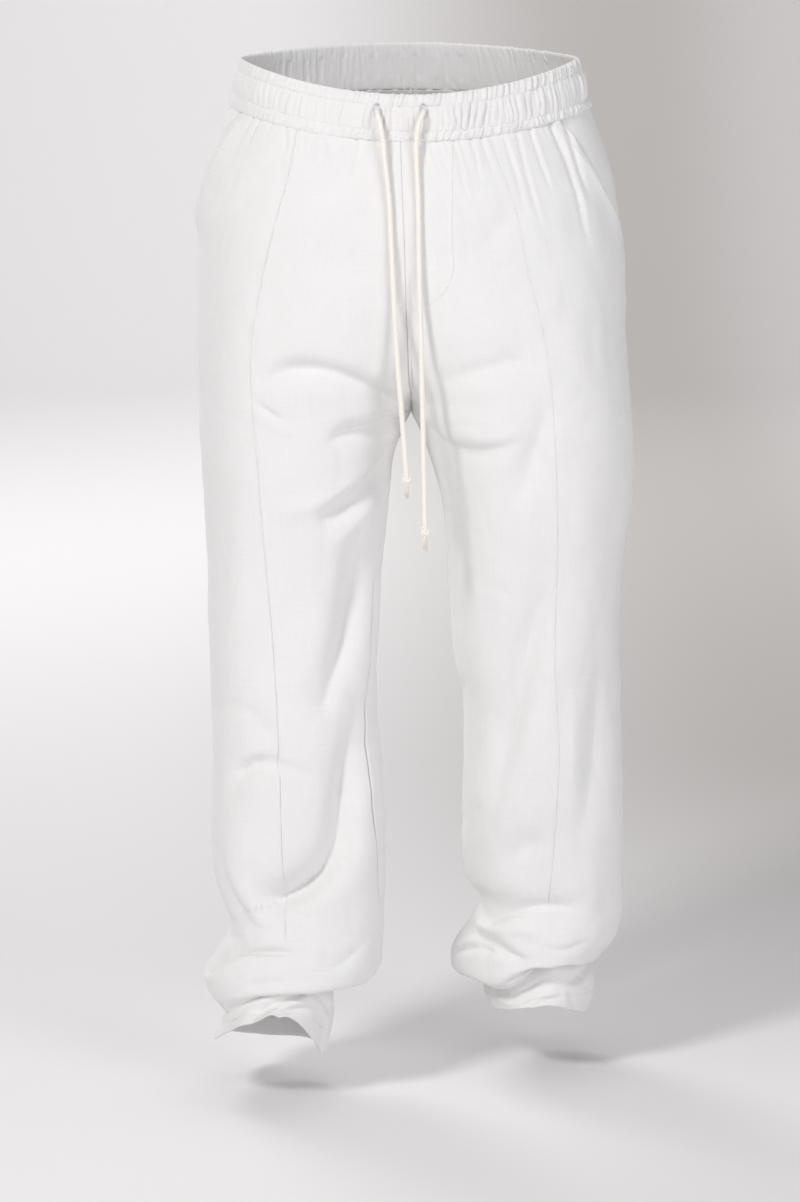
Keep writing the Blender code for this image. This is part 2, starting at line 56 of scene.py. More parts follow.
# The space between two pieces at a seam. The hem's depth, and how far inside the leg it lies at its top
# and at its fold.
SEAM_GAP = 0.02
HEM_DEPTH = 2.2
HEM_INSET = 0.17
HEM_FOLD = 0.06

# ---------------------------------------------------------------------------------------------------
# The form
# ---------------------------------------------------------------------------------------------------

HIP_RINGS = (
    # name, level, outer right, outer left, crest, inner, front, side, back, square
    ("waist_seam", -2.3, 17.6, 17.4, 0.0, -17.5, -10.6, 0.2, 11.0, 2.10),
    ("gathers", -4.4, 18.8, 18.2, 0.4, -17.5, -11.0, 0.2, 11.9, 2.10),
    ("upper_hip", -8.0, 20.2, 19.4, 1.4, -16.8, -11.6, 0.2, 13.3, 2.15),
    ("pocket", -12.4, 21.1, 20.3, 3.0, -14.6, -12.1, 0.3, 14.7, 2.20),
    ("pocket_end", -15.8, 21.0, 20.9, 4.5, -12.2, -12.3, 0.4, 15.3, 2.25),
    ("seat", -19.6, 21.0, 21.1, 6.1, -9.2, -12.45, 0.4, 15.4, 2.30),
    ("fly_end", -24.0, 21.1, 21.2, 8.0, -5.4, -12.5, 0.4, 14.9, 2.35),
    ("under_seat", -29.0, 21.1, 21.5, 9.8, -1.7, -12.4, 0.3, 13.8, 2.40),
    ("rise", -30.7, 21.0, 21.65, 10.4, -0.38, -12.3, 0.2, 13.2, 2.40),
    ("low_rise", -31.4, 21.0, 21.7, 10.5, -0.13, -12.3, 0.1, 13.0, 2.40),
    ("under_rise", -31.75, 21.0, 21.75, 10.55, -0.03, -12.3, 0.1, 12.9, 2.40),
    ("crotch", -32.0, 21.0, 21.8, 10.6, 0.02, -12.3, 0.1, 12.8, 2.40),
)

LEG_RINGS = {
    # name, level, outer, crest, inner, front, side, back, square
    "right": (
        ("fork", -33.7, 20.95, 10.8, 0.8, -12.4, -0.1, 12.2, 2.40),
        ("upper_thigh", -36.0, 20.8, 11.0, 1.7, -12.5, -0.6, 11.4, 2.40),
        ("thigh", -40.5, 20.5, 11.2, 2.25, -12.4, -1.5, 9.9, 2.40),
        ("mid_thigh", -46.0, 20.2, 11.4, 2.8, -12.6, -2.6, 8.0, 2.40),
        ("low_thigh", -52.0, 20.0, 11.6, 3.2, -13.1, -3.9, 6.0, 2.40),
        ("above_knee", -58.0, 19.8, 11.6, 3.5, -13.9, -5.4, 3.9, 2.40),
        ("knee", -63.0, 19.6, 11.5, 3.35, -14.6, -6.5, 2.2, 2.40),
        ("below_knee", -68.0, 19.6, 11.3, 2.8, -14.8, -7.4, 0.8, 2.40),
        ("calf", -73.0, 19.7, 11.2, 2.55, -15.0, -8.2, -0.2, 2.40),
        ("shin", -77.5, 19.3, 11.1, 2.6, -15.3, -8.9, -1.0, 2.35),
        ("low_shin", -80.0, 18.3, 11.0, 2.7, -15.6, -9.3, -1.4, 2.30),
        ("notch", -81.7, 17.6, 10.9, 2.8, -15.9, -9.6, -1.6, 2.30),
        ("lip", -84.4, 19.4, 11.0, 2.95, -16.7, -9.9, -1.6, 2.30),
        ("crease", -85.6, 20.3, 11.0, 3.0, -17.0, -10.2, -1.8, 2.30),
        ("roll", -86.7, 20.2, 11.0, 3.4, -17.7, -10.5, -2.0, 2.30),
        ("edge", -87.9, 19.7, 11.2, 4.1, -17.9, -10.65, -2.3, 2.30),
        ("under", -88.15, 19.1, 11.8, 5.6, -17.4, -10.9, -3.0, 2.30),
        ("tuck", -87.5, 18.7, 12.4, 7.3, -16.9, -11.0, -3.9, 2.25),
        ("cuff", -90.4, 18.3, 12.6, 7.7, -17.6, -11.2, -4.1, 2.20),
        ("hem", -93.0, 19.4, 12.9, 8.5, -18.6, -11.6, -3.9, 2.20),
    ),
    "left": (
        ("fork", -33.7, 21.9, 11.0, 0.75, -12.3, 0.1, 12.6, 2.40),
        ("upper_thigh", -36.0, 22.0, 11.8, 1.6, -12.0, 0.3, 12.2, 2.40),
        ("thigh", -40.5, 21.9, 12.4, 2.9, -11.4, 0.4, 11.4, 2.40),
        ("mid_thigh", -46.0, 21.2, 12.5, 3.45, -10.7, 0.4, 10.3, 2.40),
        ("low_thigh", -52.0, 20.9, 12.6, 3.9, -10.0, 0.2, 9.3, 2.40),
        ("above_knee", -57.0, 21.0, 12.8, 4.5, -9.6, 0.0, 8.4, 2.40),
        ("knee", -60.5, 21.1, 13.0, 5.2, -9.3, -0.1, 7.9, 2.40),
        ("below_knee", -65.0, 21.2, 13.2, 5.3, -9.0, -0.1, 7.4, 2.40),
        ("calf", -71.0, 21.4, 13.3, 5.2, -8.3, 0.1, 7.4, 2.40),
        ("low_calf", -76.0, 21.4, 13.3, 5.15, -7.5, 0.4, 7.7, 2.40),
        ("shin", -79.0, 21.4, 13.4, 5.6, -7.2, 0.7, 7.8, 2.35),
        ("crease", -81.7, 21.3, 13.5, 7.2, -6.8, 0.8, 8.0, 2.30),
        ("lobe", -84.0, 20.6, 13.5, 6.1, -7.6, 0.9, 8.4, 2.30),
        ("roll", -86.6, 19.3, 13.3, 4.1, -7.9, 1.1, 8.8, 2.25),
        ("edge", -87.9, 18.8, 13.2, 4.5, -7.8, 1.2, 8.7, 2.25),
        ("under", -88.15, 18.3, 13.1, 5.6, -7.1, 1.3, 8.4, 2.25),
        ("tuck", -87.6, 17.4, 13.0, 7.1, -6.4, 1.5, 7.8, 2.20),
        ("cuff", -90.4, 18.5, 13.1, 7.5, -6.7, 1.7, 8.2, 2.20),
        ("hem", -92.6, 17.8, 13.1, 8.2, -7.3, 2.0, 8.4, 2.20),
    ),
}

SAGS = (
    # side, angle in degrees, half width in degrees, down, half height, how far the cloth is moved up
    ("left", 122.0, 24.0, 91.5, 3.0, -1.7),
    ("left", 70.0, 30.0, 92.0, 3.0, 0.5),
    ("left", 117.0, 20.0, 89.2, 1.5, -1.2),
    ("right", 40.0, 26.0, 91.5, 2.4, -0.8),
)

# How far a ring lies above its level at the outer side, the front, the inner side and the back.
HIP_TILTS = {
    "waist_seam": (0.0, -2.9, 0.0, 1.3),
    "gathers": (0.0, -2.4, 0.0, 1.1),
    "upper_hip": (0.0, -1.7, -0.5, 0.8),
    "pocket": (0.0, -1.0, -0.3, 0.4),
    "pocket_end": (0.0, -0.7, 0.0, 0.3),
    "seat": (0.0, -0.4, 0.0, 0.2),
}
LEG_TILTS = {
    "right": {
        "notch": (0.0, 0.4, -0.6, 0.0),
        "lip": (-0.7, 1.8, 0.0, -0.3),
        "crease": (-0.7, 1.9, 0.1, -0.3),
        "roll": (-0.7, 1.1, 0.4, -0.4),
        "edge": (-0.8, 1.1, 0.9, -0.2),
        "under": (-1.2, 1.1, 1.2, 0.0),
        "tuck": (-2.3, 0.8, 1.5, 0.6),
        "cuff": (-0.1, 1.9, -0.4, -0.8),
        "hem": (0.0, 4.0, -1.6, -1.8),
    },
    "left": {
        "crease": (-1.3, 0.3, 0.0, -0.8),
        "lobe": (-1.3, 0.0, 0.0, -1.0),
        "roll": (-0.3, 0.6, -1.0, -0.6),
        "edge": (0.4, 1.0, -1.1, -0.5),
        "under": (0.9, 1.3, -1.2, -0.4),
        "tuck": (1.4, 0.9, -1.7, 0.4),
        "cuff": (-0.2, 0.3, -0.8, -0.6),
        "hem": (-0.8, 1.7, -0.3, -1.4),
    },
}

# Angles round a ring, in degrees forward of its outer end, by distance down the cloth.
SEAM_ANGLES = (
    # down, side seam right, side seam left, inseam right, inseam left
    (0, 2, 4, 180, 180),
    (14, 2, 6, 180, 180),
    (28, 2, 10, 180, 180),
    (32, 2, 15, 180, 180),
    (40, 2, 16, 168, 178),
    (48, 0, 8, 152, 176),
    (60, -4, 4, 147, 174),
    (70, -6, 2, 145, 178),
    (78, -6, 2, 152, 180),
    (84, -6, 0, 172, 180),
    (100, -6, 0, 176, 180),
)

PINTUCKS = (
    # down, distance from the middle on the right, on the left
    (0.0, 10.9, 7.4),
    (4.5, 11.6, 8.9),
    (9.0, 12.7, 10.2),
    (15.0, 14.0, 11.3),
    (22.0, 15.1, 12.8),
    (27.0, 15.4, 13.5),
    (33.0, 15.0, 13.9),
    (45.0, 14.1, 14.3),
    (55.0, 13.3, 14.1),
    (65.0, 12.8, 14.6),
    (74.0, 12.6, 14.2),
    (82.0, 12.2, 13.6),
    (100.0, 13.0, 13.4),
)
# Where a pintuck fades out, and a kink in the right one: how far it moves and where.
PINTUCK_END = {"right": (83.6, 85.0), "left": (80.2, 81.6)}
KINK = 0.28
KINK_DOWN = 64.9
PINTUCK_PROFILE = (
    # distance across it, height
    (-0.28, 0.0),
    (-0.13, 0.01),
    (-0.06, 0.04),
    (-0.025, 0.085),
    (0.005, 0.09),
    (0.03, 0.0),
    (0.05, -0.07),
    (0.13, -0.03),
    (0.28, 0.0),
)

ROW_SPACING = (
    # down, distance between a panel's rows there
    (0.0, 0.22),
    (4.0, 0.40),
    (29.0, 0.40),
    (30.5, 0.14),
    (33.5, 0.14),
    (35.0, 0.42),
    (77.0, 0.42),
    (80.0, 0.20),
    (100.0, 0.20),
)

SEAM_PROFILE = (
    # distance from a seam's edge, height
    (0.0, -0.12),
    (0.06, -0.05),
    (0.16, 0.02),
    (0.35, 0.0),
)

# How far round the pocket mouth starts, in degrees, how far down it ends, how far its edge stands out,
# how much more it hangs open, and how far from the edge it is stitched.
POCKET_TURN = {"right": 21.0, "left": 31.0}
POCKET_END = 13.9
POCKET_EDGE = 0.08
POCKET_GAPE = 0.22
POCKET_STITCH = 0.55
POCKET_MOUTH = (
    # down, share of the pocket's turn forward of the side seam
    (0.0, 1.0),
    (4.0, 0.85),
    (8.0, 0.60),
    (12.0, 0.26),
    (POCKET_END, 0.0),
)

# Distances down to just past the crotch and to the end of the lap, and how far the lap stands out.
RISE_END = 34.0
LAP_END = 31.0
LAP_LIFT = 0.13
# The foot of the facing is a quarter ellipse.
FLY_FACING = {"end": 16.5, "bend": 4.5, "width": 4.2}
LAP = (
    # down, how far the left front laps past the middle
    (0.0, 1.0),
    (6.0, 0.85),
    (12.0, 0.65),
    (17.0, 0.55),
    (23.0, 0.40),
    (27.0, 0.22),
    (30.0, 0.04),
    (100.0, 0.04),
)

FLY_STITCH = (
    # across, height
    (3.9, -5.6),
    (3.9, -10.0),
    (3.9, -14.9),
    (4.05, -16.8),
    (3.8, -18.2),
    (3.1, -19.5),
    (2.3, -20.3),
    (1.2, -21.0),
    (0.2, -21.4),
)

# ---------------------------------------------------------------------------------------------------
# Folds
# ---------------------------------------------------------------------------------------------------

# How many half widths from its line a fold is worked out, and the spacing of the line's points.
FOLD_REACH = 3.5
FOLD_STEP = 0.8
FOLDS = {
    # side and face: height in mm (below zero is a trough), half width, lip's share, start, end, line
    # On the front and back a line's points are (across, height), on the sides (depth, height).
    ("right", "front"): (
        (-2.2, 1.7, 0.0, 0.0, 0.3, ((-10.6, -16.1), (-6.5, -17.0), (-2.4, -19.0))),
        (-11.0, 1.2, 0.35, 0.1, 0.8, ((-15.0, -29.6), (-14.0, -28.1), (-12.5, -27.1), (-10.4, -26.8),
         (-8.0, -27.1), (-5.3, -28.1), (-3.0, -29.4), (-1.2, -31.0))),
        (2.6, 1.6, 0.0, 0.2, 0.0, ((-12.8, -29.4), (-9.6, -28.9), (-6.0, -30.0), (-2.6, -31.6))),
        (-10.0, 1.1, 0.4, 0.1, 0.9, ((-8.2, -34.4), (-6.6, -33.2), (-4.2, -32.8), (-1.3, -32.6))),
        (-2.8, 0.5, 0.4, 0.3, 0.0, ((-15.3, -30.0), (-13.6, -31.2), (-12.0, -32.2))),
        (1.8, 0.6, 0.2, 0.2, 0.0, ((-15.2, -30.8), (-12.4, -32.8), (-10.2, -33.4))),
        (7.5, 1.1, 0.0, 0.7, 0.0, ((-1.6, -33.6), (-4.6, -37.4), (-7.6, -39.4), (-13.8, -41.2))),
        (-13.0, 1.4, 0.3, 0.6, 0.0, ((-2.2, -35.6), (-5.2, -39.2), (-9.6, -42.3))),
        (3.6, 1.0, 0.0, 0.4, 0.0, ((-3.0, -39.2), (-5.4, -42.2), (-8.4, -44.6))),
        (-6.0, 1.4, 0.3, 0.2, 0.0, ((-3.2, -40.7), (-5.2, -45.3), (-6.5, -53.2))),
        (-15.0, 1.5, 0.35, 0.2, 0.4, ((-4.6, -44.2), (-5.4, -50.9), (-6.8, -55.6), (-8.2, -59.0))),
        (3.0, 1.6, 0.0, 0.0, 0.0, ((-8.6, -50.0), (-10.2, -55.6), (-12.4, -60.0))),
        (-19.0, 1.8, 0.35, 0.1, 0.7, ((-5.2, -60.2), (-5.7, -63.7), (-6.3, -69.2), (-7.1, -73.6),
         (-9.2, -76.6), (-13.2, -78.5))),
        (-8.0, 0.9, 0.4, 0.2, 0.5, ((-17.4, -67.2), (-16.3, -65.7), (-15.0, -65.0), (-13.1, -64.9))),
        (-2.0, 0.8, 0.4, 0.4, 0.0, ((-12.8, -65.3), (-10.4, -65.9), (-8.6, -67.4))),
        (-2.6, 1.2, 0.3, 0.3, 0.3, ((-19.5, -60.6), (-16.6, -59.8), (-14.2, -61.6), (-13.0, -64.2))),
        (-12.0, 1.2, 0.4, 0.5, 0.8, ((-8.4, -76.0), (-10.4, -77.2), (-12.6, -78.4))),
        (-2.4, 0.6, 0.4, 0.9, 0.0, ((-12.6, -78.6), (-11.0, -79.8), (-9.0, -80.2))),
        (-4.0, 0.9, 0.5, 0.4, 0.0, ((-19.0, -74.0), (-17.9, -77.4), (-16.0, -80.4), (-14.0, -81.6))),
        (-1.3, 0.26, 0.4, 0.9, 0.0, ((-12.0, -4.6), (-12.1, -6.6))),
        (-1.0, 0.23, 0.4, 0.9, 0.0, ((-10.3, -5.0), (-10.2, -6.6))),
        (-1.3, 0.26, 0.4, 0.9, 0.0, ((-8.5, -5.2), (-7.7, -7.6))),
        (-1.6, 0.26, 0.4, 0.9, 0.0, ((-5.3, -5.0), (-6.0, -9.4))),
        (-1.1, 0.23, 0.4, 0.9, 0.0, ((-4.0, -5.1), (-4.3, -7.4))),
        (-2.0, 0.5, 0.4, 0.0, 0.0, ((-19.2, -83.6), (-17.4, -82.6), (-15.6, -82.6))),
        (-8.5, 0.5, 0.5, 0.0, 1.0, ((-10.0, -83.7), (-12.5, -83.3), (-14.5, -83.3), (-16.7, -83.6),
         (-18.3, -84.6), (-20.0, -86.1))),
        (-4.5, 0.45, 0.7, 0.3, 0.8, ((-17.6, -91.4), (-15.6, -89.6), (-13.4, -88.2), (-10.5, -87.3))),
        (-4.5, 0.35, 0.7, 0.2, 0.2, ((-14.4, -89.8), (-12.6, -88.9), (-10.4, -88.6), (-8.8, -89.2))),
        (2.2, 0.5, 0.0, 0.2, 0.0, ((-16.0, -85.4), (-12.0, -84.8), (-7.0, -85.6))),
        (-2.4, 0.6, 0.4, 0.0, 0.0, ((-17.4, -86.9), (-14.0, -86.1), (-11.0, -85.9))),
        (-2.4, 0.7, 0.4, 0.3, 0.0, ((-4.2, -82.6), (-7.0, -84.6), (-10.2, -85.4))),
        (-4.0, 0.4, 0.7, 0.3, 0.5, ((-10.4, -88.0), (-9.0, -89.6), (-8.6, -91.4), (-8.6, -93.8))),
        (-3.0, 0.35, 0.6, 0.5, 0.0, ((-9.4, -87.4), (-8.4, -88.8), (-8.0, -90.6))),
    ),
    ("right", "back"): (
        (-4.2, 1.1, 0.4, 0.6, 0.0, ((-1.6, -33.4), (-6.5, -31.0), (-13.0, -30.4))),
        (-3.0, 1.0, 0.4, 0.6, 0.0, ((-2.4, -37.6), (-7.5, -35.0), (-13.4, -35.6))),
        (-2.4, 1.2, 0.3, 0.4, 0.0, ((-3.2, -43.4), (-8.2, -40.2), (-12.4, -40.8))),
        (-3.4, 1.8, 0.3, 0.0, 0.0, ((-12.6, -36.0), (-13.4, -48.0), (-12.4, -60.0))),
        (3.0, 1.8, 0.0, 0.0, 0.0, ((-8.0, -44.0), (-8.8, -55.0), (-8.0, -66.0))),
        (-4.2, 0.9, 0.5, 0.5, 0.1, ((-5.0, -62.4), (-9.5, -60.2), (-15.6, -61.8))),
        (-3.2, 0.8, 0.5, 0.3, 0.0, ((-5.6, -66.4), (-11.0, -67.6), (-16.2, -65.8))),
        (-2.8, 1.0, 0.3, 0.3, 0.3, ((-4.8, -72.4), (-10.0, -73.8), (-17.4, -71.2))),
        (-4.2, 0.8, 0.5, 0.5, 0.5, ((-4.6, -79.0), (-11.0, -80.6), (-17.6, -78.6))),
        (-1.8, 0.6, 0.4, 0.0, 0.0, ((-9.0, -89.4), (-12.0, -90.6), (-15.6, -90.0))),
        (-1.6, 1.6, 0.2, 0.0, 0.0, ((-4.0, -14.0), (-7.5, -19.0), (-13.0, -22.5))),
    ),
    ("right", "outer"): (
        (-0.8, 1.4, 0.3, 0.0, 0.0, ((-6.0, -28.0), (2.0, -30.0), (8.0, -28.8))),
        (-0.8, 1.3, 0.3, 0.0, 0.0, ((-9.0, -45.0), (-3.0, -47.5), (3.5, -46.4))),
        (-1.2, 0.9, 0.4, 0.0, 0.0, ((-11.5, -63.6), (-6.0, -65.8), (-0.5, -64.4))),
        (-1.3, 0.8, 0.4, 0.0, 0.2, ((-13.0, -75.6), (-8.0, -77.6), (-2.6, -76.4))),
    ),
    ("right", "inner"): (
        (-1.0, 1.0, 0.4, 0.2, 0.0, ((-9.0, -45.6), (-3.0, -47.4), (4.0, -46.0))),
        (-1.4, 0.9, 0.5, 0.5, 0.0, ((-12.0, -58.6), (-6.0, -61.6), (0.0, -60.6))),
        (-1.2, 0.9, 0.5, 0.2, 0.2, ((-13.0, -71.0), (-8.0, -73.4), (-2.0, -72.2))),
    ),
    ("left", "front"): (
        (-1.9, 0.23, 0.6, 0.9, 0.0, ((4.1, -5.1), (4.8, -8.0), (5.6, -11.4))),
        (-1.9, 0.23, 0.6, 0.9, 0.0, ((5.8, -5.1), (6.8, -9.4))),
        (-2.0, 0.23, 0.6, 0.9, 0.0, ((9.0, -5.0), (10.3, -9.0), (11.0, -12.4))),
        (-2.1, 0.23, 0.6, 0.9, 0.0, ((10.2, -4.6), (11.3, -9.0), (12.7, -14.1))),
        (-2.1, 0.24, 0.6, 0.9, 0.0, ((11.4, -4.2), (12.6, -7.6), (13.6, -10.4))),
        (-2.9, 0.29, 0.7, 0.9, 0.0, ((13.4, -3.6), (14.9, -6.7), (16.1, -10.6), (17.2, -15.9))),
        (-2.2, 0.26, 0.6, 0.9, 0.0, ((14.7, -3.3), (15.9, -7.1), (17.2, -10.8))),
        (-2.6, 1.4, 0.3, 0.0, 0.0, ((11.5, -11.2), (8.6, -13.4), (5.9, -16.3))),
        (-5.0, 1.3, 0.2, 0.6, 0.0, ((3.2, -28.2), (8.6, -26.4), (12.7, -25.9))),
        (-4.6, 1.1, 0.4, 0.6, 0.0, ((1.5, -33.4), (3.1, -34.6), (5.8, -35.2), (8.7, -34.6),
         (10.1, -34.2), (10.9, -35.6))),
        (-8.5, 1.5, 0.3, 0.0, 0.1, ((13.4, -29.3), (12.0, -34.8), (10.1, -41.1))),
        (-1.8, 0.9, 0.2, 0.4, 0.0, ((12.0, -34.8), (13.2, -37.0), (13.5, -39.5))),
        (-14.0, 1.9, 0.25, 0.1, 0.1, ((13.9, -47.6), (12.1, -51.3), (11.3, -55.1), (10.6, -58.9),
         (8.9, -65.5), (7.5, -72.4))),
        (-4.0, 1.4, 0.15, 0.1, 0.2, ((14.2, -73.4), (10.8, -75.1), (7.8, -77.6))),
        (-7.5, 1.9, 0.1, 0.1, 0.1, ((17.7, -50.2), (18.4, -55.1), (18.0, -68.1), (16.2, -76.9))),
        (2.6, 0.9, 0.0, 0.0, 0.0, ((15.9, -58.0), (16.0, -66.0), (15.7, -73.0))),
        (-4.5, 0.6, 0.4, 0.1, 1.0, ((16.8, -81.2), (13.9, -80.9), (11.9, -81.1), (9.4, -82.1),
         (8.0, -83.0))),
        (5.0, 0.55, 0.0, 0.9, 0.0, ((6.9, -83.9), (8.9, -83.6), (11.0, -83.4), (13.5, -83.8))),
        (-8.5, 0.6, 0.3, 0.9, 0.1, ((6.6, -84.4), (8.7, -84.9), (10.4, -85.9), (11.8, -86.3))),
        (-6.0, 0.6, 0.5, 0.4, 0.3, ((7.0, -82.2), (6.4, -83.6), (5.2, -85.6))),
        (-4.5, 0.3, 0.8, 0.8, 0.6, ((4.4, -86.8), (5.4, -85.9), (7.1, -85.3), (7.9, -85.4))),
        (-2.6, 0.6, 0.4, 0.0, 0.2, ((12.6, -84.8), (15.2, -85.2), (17.8, -84.4))),
        (-6.0, 0.35, 0.8, 0.5, 0.3, ((9.4, -88.6), (10.8, -87.8), (12.2, -87.2), (13.6, -87.2))),
        (-5.0, 0.35, 0.8, 0.2, 0.2, ((10.2, -90.3), (11.6, -89.4), (13.2, -88.6), (14.6, -88.7))),
        (-4.0, 0.4, 0.6, 0.6, 0.0, ((18.4, -88.0), (16.6, -89.0), (15.0, -88.6))),
        (-3.2, 0.3, 0.8, 0.3, 0.3, ((11.2, -91.4), (13.0, -90.5), (15.0, -90.1))),
        (-2.2, 0.4, 0.5, 0.1, 0.4, ((15.6, -89.6), (16.3, -91.0), (16.4, -92.2))),
    ),
    ("left", "back"): (
        (-3.8, 1.0, 0.4, 0.6, 0.0, ((1.8, -33.8), (7.0, -31.6), (13.6, -31.6))),
        (-3.2, 1.1, 0.4, 0.5, 0.0, ((2.6, -38.4), (8.2, -36.4), (14.8, -37.4))),
        (-2.0, 1.2, 0.3, 0.3, 0.0, ((4.2, -45.4), (9.0, -42.8), (13.2, -43.6))),
        (-3.2, 1.7, 0.3, 0.0, 0.0, ((14.6, -39.0), (15.2, -52.0), (14.0, -64.0))),
        (2.8, 1.7, 0.0, 0.0, 0.0, ((9.6, -47.0), (10.0, -59.0), (9.2, -70.0))),
        (-3.8, 0.9, 0.5, 0.4, 0.0, ((6.6, -60.2), (11.4, -58.8), (17.6, -60.6))),
        (-2.8, 0.8, 0.5, 0.2, 0.0, ((7.2, -64.6), (12.6, -65.8), (18.2, -64.4))),
        (-2.6, 1.0, 0.3, 0.2, 0.3, ((6.4, -71.6), (12.2, -73.6), (19.0, -72.2))),
        (-4.0, 0.7, 0.6, 0.5, 0.4, ((6.8, -79.4), (12.8, -80.8), (19.4, -79.6))),
        (-2.2, 0.6, 0.4, 0.0, 0.0, ((10.2, -89.6), (13.4, -90.8), (16.4, -89.8))),
        (-1.6, 1.6, 0.2, 0.0, 0.0, ((4.6, -15.0), (8.2, -19.6), (14.0, -23.0))),
    ),
    ("left", "outer"): (
        (-0.8, 1.4, 0.3, 0.0, 0.0, ((-4.0, -31.4), (3.0, -33.4), (9.4, -32.0))),
        (-0.9, 1.5, 0.3, 0.0, 0.0, ((1.0, -40.0), (1.6, -50.0), (0.6, -58.0))),
        (-1.0, 0.9, 0.4, 0.0, 0.0, ((-5.6, -60.4), (0.6, -62.2), (5.6, -61.0))),
        (-1.3, 0.8, 0.5, 0.0, 0.2, ((-4.8, -76.6), (1.4, -78.6), (6.6, -77.6))),
    ),
    ("left", "inner"): (
        (-1.1, 1.0, 0.4, 0.2, 0.0, ((-7.6, -44.0), (0.0, -46.2), (7.6, -45.0))),
        (-1.3, 0.9, 0.5, 0.2, 0.0, ((-7.0, -57.6), (-1.0, -60.0), (5.0, -59.0))),
        (-1.3, 0.8, 0.5, 0.2, 0.2, ((-5.6, -71.6), (0.6, -73.6), (6.0, -72.6))),
    ),
}

RUMPLES = (
    # height in mm, size across, size down, how creased
    (1.5, 7.0, 15.0, 0.0),
    (0.9, 3.4, 6.5, 0.5),
    (0.55, 2.3, 3.0, 1.0),
    (0.22, 1.1, 1.6, 0.5),
)

GATHERS_END = 12.0
GATHERS = {
    # side and face: spacing, depth in mm, length, seed
    ("right", "front"): (1.7, 0.9, 2.4, 3),
    ("left", "front"): (0.95, 1.3, 2.8, 8),
    ("right", "back"): (1.2, 1.5, 4.0, 5),
    ("left", "back"): (1.2, 1.5, 4.0, 6),
}

# ---------------------------------------------------------------------------------------------------
# Waistband, cords and knots
# ---------------------------------------------------------------------------------------------------

BAND_ROWS = (
    # height up the band, outer right, outer left, front, side, back, height at the side, front and back
    (0.00, 17.6, 17.4, -10.60, 0.2, 11.00, -2.25, -5.15, -0.95),
    (0.25, 17.4, 17.2, -10.45, 0.2, 10.90, -1.2, -4.2, 0.1),
    (0.50, 17.2, 16.9, -10.30, 0.2, 10.75, 0.2, -2.9, 1.4),
    (0.77, 16.9, 16.6, -10.10, 0.2, 10.55, 1.4, -1.8, 2.6),
    (1.00, 16.7, 16.2, -9.90, 0.2, 10.40, 2.4, -0.8, 3.6),
)
BAND_SQUARE = 2.10
BAND_AROUND = 96
BAND_WIDTH = 4.4
BAND_THICKNESS = 0.26
BAND_STITCHES = (0.245, 0.76)
BAND_PROFILE = (
    # height up the band, how far the cloth stands out, how deep its gathers are
    (-0.030, 0.01, 0.02),
    (-0.005, 0.08, 0.08),
    (0.05, 0.15, 0.12),
    (0.15, 0.15, 0.12),
    (0.21, 0.10, 0.10),
    (0.245, 0.06, 0.07),
    (0.28, 0.09, 0.10),
    (0.36, 0.15, 0.16),
    (0.50, 0.18, 0.19),
    (0.64, 0.15, 0.18),
    (0.72, 0.10, 0.12),
    (0.76, 0.05, 0.08),
    (0.80, 0.09, 0.10),
    (0.90, 0.11, 0.14),
    (0.985, 0.10, 0.18),
)
BAND_TOP = ((1.0, 0.09, 0.12), (1.008, 0.02, 0.11), (1.008, -0.08, 0.10), (1.0, -0.15, 0.09))
BAND_FOOT = ((-0.02, -0.12, 0.02), (-0.03, -0.05, 0.02))
BAND_ZONES = (
    # bottom and top of the zone below, between or above the stitched rows, spacing of its gathers, seed
    (-0.05, 0.245, 0.36, 21),
    (0.245, 0.76, 0.62, 22),
    (0.76, 1.05, 0.42, 23),
)

CORD_DIAMETER = 0.005
CORD_LIFT = 0.16
BRAID_PITCH = 0.0042
KNOT_RING = 0.19
KNOT_WIND = 0.135
KNOT_RADIUS = 0.0018
KNOT_DROP = 0.0056
FRAY_THREADS = 110
FRAY_ROWS = 9
FRAY_WIDTH = 0.00032
EYELETS = {"right": (-3.3, -2.35), "left": (1.15, -2.35)}
EYELET_STITCHES = 26
CORDS = {
    # route of the free end, from its eyelet to the knot
    "right": (
        (-3.3, -10.15, -2.35),
        (-3.3, -10.62, -2.37),
        (-3.2, -11.05, -2.72),
        (-3.0, -11.25, -3.5),
        (-2.75, -11.35, -5.0),
        (-2.5, -11.65, -7.3),
        (-2.15, -12.1, -10.5),
        (-1.95, -12.5, -14.5),
        (-1.7, -12.65, -19.8),
        (-1.4, -12.6, -25.2),
        (-0.95, -12.6, -31.0),
        (-0.5, -12.6, -36.9),
    ),
    "left": (
        (1.15, -10.15, -2.35),
        (1.15, -10.62, -2.37),
        (1.0, -11.05, -2.72),
        (0.7, -11.25, -3.5),
        (0.5, -11.35, -5.0),
        (0.5, -11.65, -7.3),
        (0.65, -12.1, -10.5),
        (0.7, -12.45, -14.5),
        (0.8, -12.65, -19.8),
        (0.95, -12.65, -25.2),
        (1.15, -12.65, -34.3),
        (1.3, -12.65, -42.0),
    ),
}


